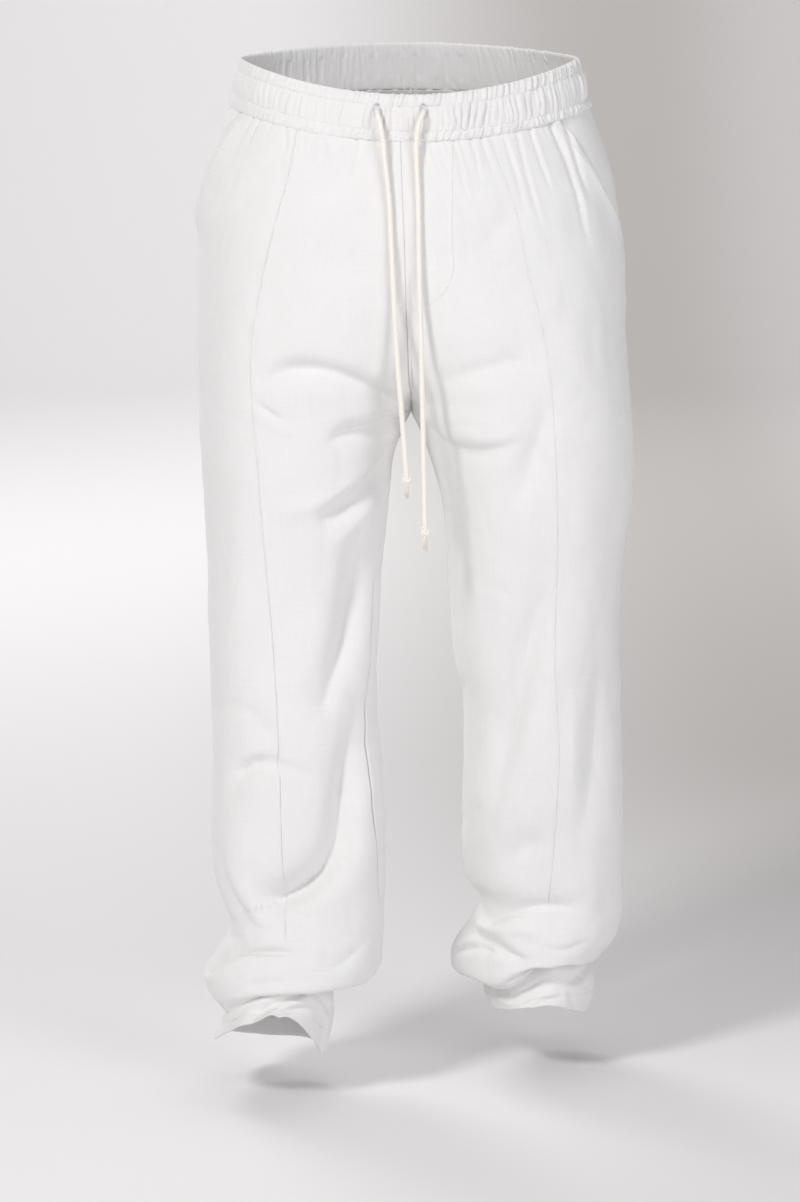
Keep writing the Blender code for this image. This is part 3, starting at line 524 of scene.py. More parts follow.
def smooth_table(knots, values, at):
    """Cubic curve through the rows of a table: each row's slope is that of the parabola through it and
    the rows beside it."""
    knots = np.asarray(knots, float)
    values = np.asarray(values, float)
    steps = np.diff(knots)
    slopes = np.diff(values, axis=0) / steps[:, None]
    weights = (steps[1:] + steps[:-1])[:, None]
    inner = (slopes[:-1] * steps[1:, None] + slopes[1:] * steps[:-1, None]) / weights
    tangents = np.concatenate([slopes[:1], inner, slopes[-1:]])
    at = np.clip(at, knots[0], knots[-1])
    k = np.clip(np.searchsorted(knots, at, side="right") - 1, 0, len(steps) - 1)
    h = steps[k]
    t = ((at - knots[k]) / h)[..., None]
    h = h[..., None]
    return (
        values[k] * (1 + 2 * t) * (1 - t) ** 2
        + tangents[k] * h * t * (1 - t) ** 2
        + values[k + 1] * t**2 * (3 - 2 * t)
        + tangents[k + 1] * h * t**2 * (t - 1)
    )


def path_run(points):
    """Distance along a path from its first point, at each of its points."""
    return np.concatenate([[0], np.cumsum(np.linalg.norm(np.diff(points, axis=0), axis=1))])


def along_path(at, run, points):
    """The points that lie this far along a path."""
    return np.stack([np.interp(at, run, column) for column in points.T], axis=-1)


def unit(vectors):
    """Each vector divided by its length."""
    return vectors / (np.linalg.norm(vectors, axis=-1, keepdims=True) + 1e-12)


def smooth_path(points, spacing):
    """Points an even spacing apart on the smooth curve through a few."""
    points = np.asarray(points, float)
    knots = path_run(points)
    fine = smooth_table(knots, points, np.linspace(0, knots[-1], 60 * len(points)))
    run = path_run(fine)
    return along_path(np.linspace(0, run[-1], max(2, round(run[-1] / spacing) + 1)), run, fine)


def ease(value, low, high):
    """0 below low, 1 above high, and a smooth step between them."""
    t = np.clip((value - low) / (high - low), 0, 1)
    return t * t * (3 - 2 * t)


def value_noise(points, seed):
    """Random values from -1 to 1 at the corners of a lattice of unit cubes, blended smoothly."""
    cell = np.floor(points)
    part = points - cell
    part = part * part * (3 - 2 * part)
    found = np.zeros(points.shape[:-1])
    for corner in itertools.product((0, 1), repeat=3):
        wave = np.sin((cell + corner) @ np.array([12.9898, 78.233, 37.719]) + seed) * 43758.5453
        weight = np.where(corner, part, 1 - part).prod(axis=-1)
        found += weight * (2 * (wave - np.floor(wave)) - 1)
    return found


def uneven_places(start, end, spacing, seed):
    """Places from start to end whose gaps vary from half to one and a half times the spacing."""
    gaps = spacing * np.random.default_rng(seed).uniform(0.5, 1.5, int(2 * (end - start) / spacing) + 4)
    places = start + np.cumsum(gaps)
    return places[places < end]


FACES = {
    # face: which coordinate runs across it, the part of the angle that faces it, its sign
    "front": (0, np.sin, 1),
    "back": (0, np.sin, -1),
    "outer": (1, np.cos, 1),
    "inner": (1, np.cos, -1),
}


def fold_height(points, height, half_width, lip, start, end, line):
    """A trough or ridge along a line, height * exp(-(distance / half width) ** 1.5). To the left of the
    line's way it is steeper and then rises into a lip of the other sign. Its height fades from the
    middle to its start's and end's share."""
    path = smooth_path(line, FOLD_STEP)
    low = path.min(axis=0) - FOLD_REACH * half_width
    high = path.max(axis=0) + FOLD_REACH * half_width
    found = np.zeros(len(points))
    near = np.flatnonzero(((points > low) & (points < high)).all(axis=1))
    if not len(near):
        return found
    spots = points[near]
    best = np.full(len(near), np.inf)
    across = np.zeros(len(near))
    along = np.zeros(len(near))
    for k, (a, b) in enumerate(zip(path[:-1], path[1:])):
        run = b - a
        offset = spots - a
        t = np.clip((offset @ run) / (run @ run), 0, 1)
        away = offset - t[:, None] * run
        distance = np.hypot(*away.T)
        closer = distance < best
        best = np.where(closer, distance, best)
        side = np.sign(run[0] * offset[:, 1] - run[1] * offset[:, 0])
        across = np.where(closer, side, across)
        along = np.where(closer, (k + t) / (len(path) - 1), along)
    best = best / half_width
    steep = 1 + lip
    slope = np.exp(-(best**1.5))
    cliff = (1 + lip) * np.exp(-((steep * best) ** 1.5)) - lip * np.exp(-((best / 1.9) ** 2))
    shape = np.where(across > 0, cliff, slope)
    near_start = start + (1 - start) * ease(along, 0, 0.4)
    near_end = end + (1 - end) * ease(1 - along, 0, 0.4)
    share = np.where(along < 0.5, near_start, near_end)
    found[near] = height / 10 * shape * share
    return found


class Leg:
    """One half of the trousers: half of the hips, and the leg below it. down is the distance along the
    cloth below the waist seam, and angle goes round a ring from its outer end over the front."""

    def __init__(self, side):
        self.side = side
        self.sign = 1 if side == "left" else -1
        rows = []
        for name, level, outer_right, outer_left, *rest in HIP_RINGS:
            outer = outer_left if side == "left" else outer_right
            rows.append((level, outer, *rest, *HIP_TILTS.get(name, (0, 0, 0, 0))))
        for name, *rest in LEG_RINGS[side]:
            rows.append((*rest, *LEG_TILTS[side].get(name, (0, 0, 0, 0))))
        self.rows = np.array(rows)
        level, outer, inner, front, back = self.rows[:, [0, 1, 3, 4, 6]].T
        reach = np.stack([outer, -front, -inner, back])
        height = level + self.rows[:, 8:12].T
        runs = np.hypot(np.diff(reach), np.diff(height))
        self.knots = np.concatenate([[0], np.cumsum(np.sqrt((runs**2).mean(axis=0)))])
        self.length = self.knots[-1]
        turns = np.linspace(-math.pi, math.pi, 721)
        waist = self.bare(np.zeros_like(turns), turns)
        self.waist_turns = turns
        self.waist_runs = path_run(waist)

    def stations(self):
        """Distances down of a panel's rows, whose spacing follows ROW_SPACING."""
        down, spacing = np.array(ROW_SPACING).T
        fine = np.linspace(0, self.length, 4000)
        count = np.concatenate([[0], np.cumsum(np.diff(fine) / np.interp(fine[1:], down, spacing))])
        return np.interp(np.linspace(0, count[-1], round(count[-1]) + 1), count, fine)

    def ring(self, down):
        """The sizes and tilts of the ring this far down, on a smooth curve through the tables' rows."""
        return smooth_table(self.knots, self.rows, down)

    def angle_at(self, down, across):
        """The angle, on the front, at which a ring is this far from the middle."""
        _, outer, crest, inner, _, _, _, square = np.moveaxis(self.ring(down)[..., :8], -1, 0)
        reach = np.where(across > crest, outer - crest, crest - inner)
        share = np.clip(np.abs(across - crest) / reach, 0, 1) ** square
        share = np.maximum(share, 1e-9)
        turn = np.arctan(((1 - share) / share) ** (1 / square))
        return np.where(across > crest, turn, math.pi - turn)

    def middle(self, down):
        """The angle of the middle seam above the crotch, and of the inseam below it."""
        table = np.array(SEAM_ANGLES, float)
        inseam = np.radians(np.interp(down, table[:, 0], table[:, 4 if self.sign > 0 else 3]))
        cut = self.ring(down)[..., 3] < 0
        return np.where(cut, self.angle_at(down, 0 * down), inseam)

    def side_seam(self, down):
        """The angle of the side seam."""
        table = np.array(SEAM_ANGLES, float)
        return np.radians(np.interp(down, table[:, 0], table[:, 2 if self.sign > 0 else 1]))

    def pintuck(self, down):
        """The angle of the pintuck, at its distance from the middle. The right one has a kink."""
        table = np.array(PINTUCKS)
        across = smooth_table(table[:, 0], table[:, 1:], down)[..., 1 if self.sign > 0 else 0]
        if self.sign < 0:
            across = across + KINK * np.exp(-(((down - KINK_DOWN) / 0.9) ** 2))
        return self.angle_at(down, across)

    def pocket_mouth(self, down):
        """The angle of the pocket's edge: forward of the side seam by a share of the pocket's turn."""
        share = np.interp(down, *np.array(POCKET_MOUTH).T)
        return self.side_seam(down) + math.radians(POCKET_TURN[self.side]) * share

    def bare(self, down, angle):
        """Point on the rings with no folds. With c and s the cosine and sine of the angle, a ring is
        crest + reach * c / n and side - reach * s / n, where n is the power mean of |c| and |s| that
        squares the ellipse, and its height blends four tilts by c squared and s squared."""
        ring = self.ring(down)
        level, outer, crest, inner, front, side, back, square = np.moveaxis(ring[..., :8], -1, 0)
        c = np.cos(angle)
        s = np.sin(angle)
        mean = (np.abs(c) ** square + np.abs(s) ** square) ** (1 / square)
        across = crest + np.where(c > 0, outer - crest, crest - inner) * c / mean
        depth = side - np.where(s > 0, side - front, back - side) * s / mean
        tilt = np.moveaxis(ring[..., 8:12], -1, 0)
        height = level + np.where(c > 0, tilt[0], tilt[2]) * c**2 + np.where(s > 0, tilt[1], tilt[3]) * s**2
        for sagging, turn, wide, place, tall, move in SAGS:
            if sagging == self.side:
                beside = (np.degrees(angle) - turn) / wide
                height = height + move * np.exp(-(beside**2) - ((down - place) / tall) ** 2)
        return np.stack([self.sign * across, depth, height], axis=-1)

    def normal(self, down, angle):
        """Unit vector out of the bare surface, from its slopes round and down."""
        step = 0.05
        turn = 0.004
        below = self.bare(np.minimum(down + step, self.length), angle)
        above = self.bare(np.maximum(down - step, 0), angle)
        out = np.cross(self.bare(down, angle + turn) - self.bare(down, angle - turn), below - above)
        return self.sign * unit(out)

    def gathers(self, down, angle, across):
        """Narrow troughs that start at the waist seam at uneven places, each depth * exp(-distance /
        width), widening and fading on the way down, between cloth that puffs out."""
        found = np.zeros(down.shape)
        top = down < GATHERS_END
        run = np.interp(angle[top], self.waist_turns, self.waist_runs)
        below = down[top]
        total = 0.10 * (1 - np.exp(-below / 0.5)) * np.exp(-below / 5)
        for face, start, end in (("front", 0.0, 2.6), ("back", -2.6, 0.0)):
            spacing, depth, length, seed = GATHERS[self.side, face]
            ends = np.interp([start, end], self.waist_turns, self.waist_runs)
            places = uneven_places(*ends, spacing, seed)
            chance = np.random.default_rng(seed + 50).uniform(0.3, 1.6, (len(places), 2))
            for place, (deep, far) in zip(places, chance):
                width = 0.12 + 0.05 * below
                fade = np.exp(-((below / (length * far)) ** 1.5))
                total -= deep * depth / 10 * np.exp(-np.abs(run - place) / width) * fade
        found[top] = total * ease(np.abs(across[top]), 0.1, 1.4)
        return found

    def relief(self, down, angle, point):
        """How far the cloth stands out of the bare surface."""
        flat = point.reshape(-1, 3)
        turns = angle.reshape(-1)
        found = np.zeros(len(flat))
        for face, (axis, part, sign) in FACES.items():
            seen = ease(sign * part(turns), 0.02, 0.45)
            for fold in FOLDS[self.side, face]:
                found += seen * fold_height(flat[:, [axis, 2]], *fold)
        for seed, (height, across, below, creased) in enumerate(RUMPLES):
            size = np.array([across, across, below])
            bend = 0.6 * np.stack([value_noise(flat / size / 1.7, seed + n) for n in (11, 12, 13)], axis=-1)
            noise = value_noise(flat / size + bend, seed)
            noise = noise + creased * (np.abs(noise) * 2 - 0.6 - noise)
            found += height / 10 * noise * ease(down.reshape(-1), 0, 3)
        return found.reshape(down.shape) + self.gathers(down, angle, point[..., 0])

    def cloth(self, down, angle, proud=0.0):
        """Points of the cloth, in metres, kept on this side of the middle."""
        down, angle = np.broadcast_arrays(down, angle)
        point = self.bare(down, angle)
        out = self.normal(down, angle)
        point = point + (self.relief(down, angle, point) + proud)[..., None] * out
        point[..., 0] = self.sign * np.maximum(self.sign * point[..., 0], SEAM_GAP / 2)
        return point * CM, out

    def shift(self, down, angle, distance):
        """The angle that lies this far along the ring from another."""
        run = np.linalg.norm(self.bare(down, angle + 0.01) - self.bare(down, angle - 0.01), axis=-1)
        return angle + distance / run * 0.02


# ---------------------------------------------------------------------------------------------------
# Meshes
# ---------------------------------------------------------------------------------------------------


def add_mesh(name, vertices, faces, uv, material):
    """A smooth mesh of quads or triangles, with one UV pair for each corner."""
    mesh = bpy.data.meshes.new(name)
    sides = faces.shape[1]
    mesh.vertices.add(len(vertices))
    mesh.vertices.foreach_set("co", np.ascontiguousarray(vertices, np.float32).ravel())
    mesh.loops.add(faces.size)
    mesh.loops.foreach_set("vertex_index", faces.astype(np.int32).ravel())
    mesh.polygons.add(len(faces))
    mesh.polygons.foreach_set("loop_start", np.arange(0, faces.size, sides, dtype=np.int32))
    mesh.update(calc_edges=True)
    mesh.shade_smooth()
    layer = mesh.uv_layers.new(name="cloth")
    layer.data.foreach_set("uv", np.ascontiguousarray(uv, np.float32).ravel())
    mesh.materials.append(material)
    obj = bpy.data.objects.new(name, mesh)
    bpy.context.scene.collection.objects.link(obj)
    return obj


def grid_faces(rows, columns, around=False, through=False):
    """Quads of a grid of points, and for each corner its row and column, which run past the last one
    where the grid is closed."""
    last_row, last_column = rows - (not through), columns - (not around)
    row, column = np.meshgrid(np.arange(last_row), np.arange(last_column), indexing="ij")
    order = ((0, 0), (1, 0), (1, 1), (0, 1))
    corners = np.stack([np.stack([row + i, column + j], -1) for i, j in order], 2).reshape(-1, 4, 2)
    return corners[..., 0] % rows * columns + corners[..., 1] % columns, corners


def grid_mesh(name, points, uv, material, outward, around=False, through=False):
    """A mesh of a grid of points, turned so that its faces look along the outward vectors. A grid closed
    around or through has one more column or row of UV than of points."""
    rows, columns = points.shape[:2]
    faces, corners = grid_faces(rows, columns, around, through)
    flat = points.reshape(-1, 3)
    corner_uv = uv[corners[..., 0], corners[..., 1]]
    across = np.cross(flat[faces[:, 2]] - flat[faces[:, 0]], flat[faces[:, 3]] - flat[faces[:, 1]])
    if (across * outward.reshape(-1, 3)[faces[:, 0]]).sum() < 0:
        faces = faces[:, ::-1]
        corner_uv = corner_uv[:, ::-1]
    return add_mesh(name, flat, faces, corner_uv, material)


def thicken(obj, thickness):
    """Gives a sheet its thickness, inwards from its outer face."""
    shell = obj.modifiers.new("thickness", "SOLIDIFY")
    shell.thickness = thickness
    shell.offset = -1
    return obj


def run_lengths(points):
    """Distance along each row of a grid from its first column."""
    steps = np.linalg.norm(np.diff(points, axis=1), axis=-1)
    return np.concatenate([np.zeros((len(points), 1)), np.cumsum(steps, axis=1)], axis=1)


def spindle_faces():
    """Triangles of a spindle whose corners are its tip, three rings of five, and its other tip."""
    k = np.arange(5)
    n = (k + 1) % 5
    found = [np.stack([0 * k, 1 + n, 1 + k], -1), np.stack([16 + 0 * k, 11 + k, 11 + n], -1)]
    for ring_start in (1, 6):
        a, b = ring_start + k, ring_start + n
        found += [np.stack([a, b, b + 5], -1), np.stack([a, b + 5, a + 5], -1)]
    return np.concatenate(found)


def stitches(name, rows, material, pitch=0.0031, length=0.0023, width=0.00042):
    """Beads of thread along rows of (points, outward vectors): each is a spindle of five sides, half sunk
    in the cloth."""
    shape = np.array([(-0.5, 0.0), (-0.36, 1.0), (0.0, 1.15), (0.36, 1.0), (0.5, 0.0)])
    turns = (np.arange(5) * math.tau / 5)[:, None, None, None]
    beads = []
    for points, out in rows:
        run = path_run(points)
        middles = np.arange(pitch / 2, run[-1], pitch)
        at = middles[:, None] + shape[:, 0] * length
        along = unit(along_path(at + length / 4, run, points) - along_path(at - length / 4, run, points))
        lift = unit(along_path(at, run, out))
        ring = shape[:, 1, None] * (np.cos(turns) * np.cross(along, lift) + 0.8 * np.sin(turns) * lift)
        spots = np.moveaxis(along_path(at, run, points) + width * ring + 0.4 * width * lift, 0, 2)
        rings = spots[:, 1:4].reshape(-1, 15, 3)
        beads.append(np.concatenate([spots[:, 0, :1], rings, spots[:, 4, :1]], axis=1))
    beads = np.concatenate(beads)
    template = spindle_faces()
    faces = (np.arange(len(beads))[:, None, None] * beads.shape[1] + template).reshape(-1, 3)
    corners = beads[0, template] - beads[0, 0]
    if np.einsum("ij,ij->", corners[:, 0], np.cross(corners[:, 1], corners[:, 2])) < 0:
        faces = faces[:, ::-1]
    return add_mesh(name, beads.reshape(-1, 3), faces, np.zeros((faces.size, 2)), material)


def tube(name, path, side, radius, sides, material, relief=None):
    """A round tube along a path: path + radius * (cos * side + sin * the third direction), closed at both
    ends with a small cap."""
    along = unit(np.gradient(path, axis=0))
    side = unit(side - (side * along).sum(axis=1, keepdims=True) * along)
    other = np.cross(along, side)
    turns = np.arange(sides) * math.tau / sides
    run = path_run(path)
    reach = np.broadcast_to(radius, run.shape)[:, None] * np.ones(sides)
    if relief is not None:
        reach = reach * (1 + relief(run[:, None], turns))
    out = np.cos(turns)[:, None] * side[:, None] + np.sin(turns)[:, None] * other[:, None]
    points = path[:, None] + reach[..., None] * out
    first, last = (0.97 * path[end, None] + 0.03 * points[end] for end in (slice(0, 1), slice(-1, None)))
    points = np.concatenate([first, points, last])
    out = np.concatenate([out[:1], out, out[-1:]])
    run = np.concatenate([run[:1], run, run[-1:]])
    uv = np.stack(np.broadcast_arrays(np.arange(sides + 1) / sides, run[:, None]), axis=-1)
    return grid_mesh(name, points, uv, material, out, around=True)


# ---------------------------------------------------------------------------------------------------
# Materials
# ---------------------------------------------------------------------------------------------------

LINEN_LIGHT = (0.875, 0.865, 0.862, 1)
LINEN_DARK = (0.79, 0.78, 0.775, 1)
COTTON_LIGHT = (0.99, 0.95, 0.89, 1)
COTTON_DARK = (0.90, 0.82, 0.74, 1)
THREAD_COLOUR = (0.88, 0.87, 0.85, 1)
BACKDROP_PALE = (0.90, 0.885, 0.89, 1)
# Painted shade: the backdrop's colour where the wearer's shadow is painted on it, behind the wearer's left.
BACKDROP_PAINTED_SHADE = (0.56, 0.535, 0.52, 1)


class Socket:
    """A value in a material's nodes. Operators on it add Math nodes."""

    def __init__(self, paint, socket):
        self.paint = paint
        self.socket = socket

    def math(self, operation, *values):
        """The result of a Math node."""
        return self.paint.node("ShaderNodeMath", {"operation": operation}, dict(enumerate(values)))

    def __add__(self, other):
        return self.math("ADD", self, other)

    def __sub__(self, other):
        return self.math("SUBTRACT", self, other)

    def __mul__(self, other):
        return self.math("MULTIPLY", self, other)

    def __radd__(self, other):
        return self.math("ADD", other, self)

    def __rsub__(self, other):
        return self.math("SUBTRACT", other, self)

    def __rmul__(self, other):
        return self.math("MULTIPLY", other, self)

    def sine(self):
        """The sine of this value."""
        return self.math("SINE", self)

    def clipped(self, low, high):
        """0 at low, 1 at high, and a smooth step between them."""
        smooth = {"interpolation_type": "SMOOTHSTEP"}
        return self.paint.node("ShaderNodeMapRange", smooth, {0: self, 1: low, 2: high})

    def output(self, index):
        """Another output of the node that this value comes from."""
        return Socket(self.paint, self.socket.node.outputs[index])


class Paint:
    """A new material, and the one way its nodes are made."""

    def __init__(self, name):
        self.material = bpy.data.materials.new(name)
        self.material.use_nodes = True
        self.tree = self.material.node_tree
        self.shader = self.tree.nodes["Principled BSDF"]

    def join(self, slot, value):
        """Links a value to a socket, or sets the socket to a number or colour."""
        if isinstance(value, Socket):
            self.tree.links.new(value.socket, slot)
        else:
            slot.default_value = value

    def node(self, kind, settings=None, sockets=None, output=0):
        """A new node with its settings made first and then its sockets joined, as one of its outputs."""
        made = self.tree.nodes.new(kind)
        for key, value in (settings or {}).items():
            setattr(made, key, value)
        for key, value in (sockets or {}).items():
            self.join(made.inputs[key], value)
        return Socket(self, made.outputs[output])

    def mix(self, factor, first, second):
        """first * (1 - factor) + second * factor, for colours."""
        return self.node("ShaderNodeMix", {"data_type": "RGBA"}, {0: factor, 6: first, 7: second}, 2)

    def finish(self, **sockets):
        """Joins the shader's sockets, and gives the material."""
        for key, value in sockets.items():
            self.join(self.shader.inputs[key.replace("_", " ")], value)
        return self.material


def threads(paint, across, along):
    """Noise stretched along one direction of the cloth's UV, which is in metres."""
    uv = paint.node("ShaderNodeUVMap", {"uv_map": "cloth"})
    scale = (1 / across, 1 / along, 0)
    spread = paint.node("ShaderNodeVectorMath", {"operation": "MULTIPLY"}, {0: uv, 1: scale})
    noise = {"Vector": spread, "Scale": 1.0, "Detail": 2.0}
    return paint.node("ShaderNodeTexNoise", {"noise_dimensions": "2D"}, noise)


def linen():
    """Off-white linen: uneven warp and weft threads with slubs, as colour and bump."""
    paint = Paint("linen")
    warp = threads(paint, 0.0006, 0.020)
    weft = threads(paint, 0.020, 0.0006)
    slub = threads(paint, 0.0011, 0.055)
    cross_slub = threads(paint, 0.060, 0.0013)
    cloud = threads(paint, 0.05, 0.09)
    weave = warp * 0.5 + weft * 0.5
    thick = slub * 0.6 + cross_slub * 0.4
    shade = (weave - 0.5) * 0.8 + (thick - 0.5) * 0.8 + (cloud - 0.5) * 0.35 + 0.62
    height = weave * 0.55 + thick * 0.8
    bump = paint.node("ShaderNodeBump", None, {"Strength": 0.32, "Distance": 0.0006, "Height": height})
    return paint.finish(
        Base_Color=paint.mix(shade, LINEN_DARK, LINEN_LIGHT),
        Roughness=0.86 + (weave - 0.5) * 0.15,
        Normal=bump,
        Sheen_Weight=0.12,
        Sheen_Roughness=0.5,
        Specular_IOR_Level=0.25,
    )


def cotton(name):
    """Braided cotton: fine diagonal strands along the cord."""
    paint = Paint(name)
    uv = paint.node("ShaderNodeUVMap", {"uv_map": "cloth"})
    turn = paint.node("ShaderNodeSeparateXYZ", None, {0: uv})
    along = turn.output(1)
    rising = (turn * (6 * math.tau) + along * (math.tau / BRAID_PITCH)).sine()
    falling = (turn * (6 * math.tau) - along * (math.tau / BRAID_PITCH)).sine()
    strands = rising * falling
    fuzz = threads(paint, 0.05, 0.0011)
    shade = 0.72 + strands * 0.22 + (fuzz - 0.5) * 0.5
    height = strands * 0.4 + fuzz
    bump = paint.node("ShaderNodeBump", None, {"Strength": 0.5, "Distance": 0.0004, "Height": height})
    return paint.finish(
        Base_Color=paint.mix(shade, COTTON_DARK, COTTON_LIGHT),
        Roughness=0.9,
        Normal=bump,
        Sheen_Weight=0.2,
        Specular_IOR_Level=0.2,
    )


def sewing_thread():
    """Matt thread in the linen's colour, with a fine grain."""
    paint = Paint("thread")
    place = paint.node("ShaderNodeTexCoord", output=3)
    grain = paint.node("ShaderNodeTexNoise", None, {"Vector": place, "Scale": 900.0, "Detail": 1.0})
    dark = tuple(0.94 * c for c in THREAD_COLOUR[:3]) + (1,)
    return paint.finish(
        Base_Color=paint.mix(grain, dark, THREAD_COLOUR), Roughness=0.7, Specular_IOR_Level=0.3
    )


# ---------------------------------------------------------------------------------------------------
# Camera, light and floor
# ---------------------------------------------------------------------------------------------------

CAMERA_PLACE = (-0.011, -4.35, 0.16)
CAMERA_TILT = 81.2
CAMERA_VIEW = 15.5
SENSOR = 36
LIGHTS = (
    # name, place, target, size, power, colour
    ("key", (-2.3, -3.0, 2.4), (0.0, 0.0, -0.4), 1.0, 95, (1.0, 0.995, 0.98)),
    ("fill", (2.6, -3.2, 0.6), (0.0, 0.0, -0.5), 2.4, 51, (0.98, 0.985, 1.0)),
    ("rear", (-1.8, 3.4, 2.2), (0.0, 0.0, -0.4), 2.0, 60, (1.0, 1.0, 1.0)),
    ("wall", (0.2, 5.0, 2.8), (0.1, 7.4, -0.9), 3.5, 82, (1.0, 1.0, 1.0)),
)


def add_camera():
    """A long lens in front of the hips, tilted a little down."""
    data = bpy.data.cameras.new("camera")
    data.sensor_width = SENSOR
    data.lens = SENSOR / 2 / math.tan(math.radians(CAMERA_VIEW / 2))
    camera = bpy.data.objects.new("camera", data)
    camera.location = CAMERA_PLACE
    camera.rotation_euler = (math.radians(CAMERA_TILT), 0, 0)
    bpy.context.scene.collection.objects.link(camera)
    bpy.context.scene.camera = camera


def add_light(name, place, target, size, power, colour):
    """A round lamp that faces its target: turned about x by its angle from straight down, then about z."""
    data = bpy.data.lights.new(name, "AREA")
    data.shape = "DISK"
    data.size = size
    data.energy = power
    data.color = colour
    lamp = bpy.data.objects.new(name, data)
    lamp.location = place
    aim = np.array(target) - np.array(place)
    lamp.rotation_euler = (math.atan2(math.hypot(aim[0], aim[1]), -aim[2]), 0, math.atan2(-aim[0], aim[1]))
    bpy.context.scene.collection.objects.link(lamp)


def add_stage():
    """A floor that curves up into a wall: level, a quarter circle, then upright. Its colour holds painted
    shade: darker behind the wearer's left and further back, where the wearer's shadow falls, and a little
    lighter again far to that side."""
    floor_height = -0.985
    bend = 1.8
    wall = 8.2
    turn = np.linspace(0, math.pi / 2, 24)
    depth = np.concatenate([[-9.0], wall - bend + bend * np.sin(turn), [wall]])
    height = np.concatenate([[0.0], bend - bend * np.cos(turn), [5.0]]) + floor_height
    across = np.array([-9.0, 9.0])
    points = np.stack(np.broadcast_arrays(across, depth[:, None], height[:, None]), axis=-1)
    toward = np.broadcast_to(np.array([0.0, -1.0, 1.0]), points.shape)
    paint = Paint("backdrop")
    place = paint.node("ShaderNodeTexCoord", output=3)
    right = paint.node("ShaderNodeSeparateXYZ", None, {0: place})
    deep = right.output(1)
    # Painted shadow: towards the wearer's left and further back the colour darkens, as if in the wearer's
    # shadow, and lightens a little far to that side.
    painted_shade = right.clipped(-0.44, 0.55) * (1 - 0.35 * right.clipped(0.64, 1.10)) * deep.clipped(-0.6, 1.8)
    material = paint.finish(
        Base_Color=paint.mix(painted_shade, BACKDROP_PALE, BACKDROP_PAINTED_SHADE), Roughness=0.95, Specular_IOR_Level=0.1
    )
    floor = grid_mesh("backdrop", points, points[..., :2], material, toward)


def add_world():
    """Soft, faintly cool light from all round."""
    world = bpy.data.worlds.new("studio")
    bpy.context.scene.world = world
    world.use_nodes = True
    sky = world.node_tree.nodes["Background"].inputs
    sky["Color"].default_value = (0.985, 0.985, 1.0, 1)
    sky["Strength"].default_value = 0.36
    bpy.context.scene.view_settings.view_transform = "Standard"
    bpy.context.scene.view_settings.look = "None"


# ---------------------------------------------------------------------------------------------------
# Pieces
# ---------------------------------------------------------------------------------------------------


def attach(obj):
    """Gives a piece its body."""
    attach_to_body(obj, "root")


def stand_for(obj, name):
    """Puts a piece in the place of the node of its name."""
    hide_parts(name)
    attach(obj)
    return obj


def pocket_gape(down):
    """How far a pocket's mouth hangs open: most at its middle, nothing at its ends."""
    return POCKET_GAPE * ease(POCKET_END - 0.5 - down, 0, 3) * ease(down, 0, 2.5)


def lap_lift(down, across):
    """How far the left front stands out where it laps over the right one, near the middle."""
    return LAP_LIFT * ease(LAP_END - down, 0, 2) * ease(1.3 - across, 0, 1.1)


def hem_rows(leg, angle, proud):
    """Rows of the hem allowance, turned up inside: the cloth's own rows again, from the bottom up."""
    up = np.array([0.0, 0.06, 0.3, 0.8, 1.4, HEM_DEPTH])
    inset = np.where(up > 0, HEM_INSET, HEM_FOLD)
    down = leg.length - up
    around = np.broadcast_to(angle[-1], (len(up), angle.shape[1]))
    return leg.cloth(down[:, None], around, proud[-1] - inset[:, None])


def panel(name, leg, down, angle, proud, grain, material, lap=None):
    """A panel's thin shell on a grid of angles, with its hem turned up inside."""
    points, out = leg.cloth(down[:, None], angle, proud)
    hem, hem_out = hem_rows(leg, angle, proud)
    if lap is not None:
        points, out, hem, hem_out = lap(points, out, hem, hem_out)
    across = run_lengths(points)
    across = across - across[:, grain : grain + 1]
    uv = np.stack(np.broadcast_arrays(across, down[:, None] * CM), axis=-1)
    hem_uv = uv[-1] + np.array([0, 0.001]) * np.arange(1, len(hem) + 1)[:, None, None]
    points, uv = np.concatenate([points, hem]), np.concatenate([uv, hem_uv])
    obj = grid_mesh(name, points, uv, material, np.concatenate([out, -hem_out]))
    return stand_for(thicken(obj, CLOTH), name)


def seam_columns(leg, down, edge, sign):
    """Angles of the columns beside a seam's edge, and the heights of the cloth there."""
    gaps, heights = np.array(SEAM_PROFILE).T
    angles = np.stack([leg.shift(down, edge, sign * (SEAM_GAP / 2 + gap)) for gap in gaps], axis=1)
    return angles, np.broadcast_to(heights, angles.shape)


def pintuck_columns(leg, down):
    """Angles and heights of the columns across the pintuck. It is uneven along its length, 0.85 + 0.25 *
    the product of two sines, and fades out above the hem."""
    profile = np.array(PINTUCK_PROFILE)
    if leg.side == "left":
        profile[:, 1] *= np.where(profile[:, 1] > 0, 0.2, 1.7)
    ridge = leg.pintuck(down)
    tuck = np.stack([leg.shift(down, ridge, gap) for gap in profile[:, 0]], axis=1)
    weak = 0.85 + 0.25 * np.sin(down * 1.9) * np.sin(down * 0.53 + leg.sign)
    weak = weak * (1 - ease(down, *PINTUCK_END[leg.side]))
    return tuck, profile[:, 1] * weak[:, None]


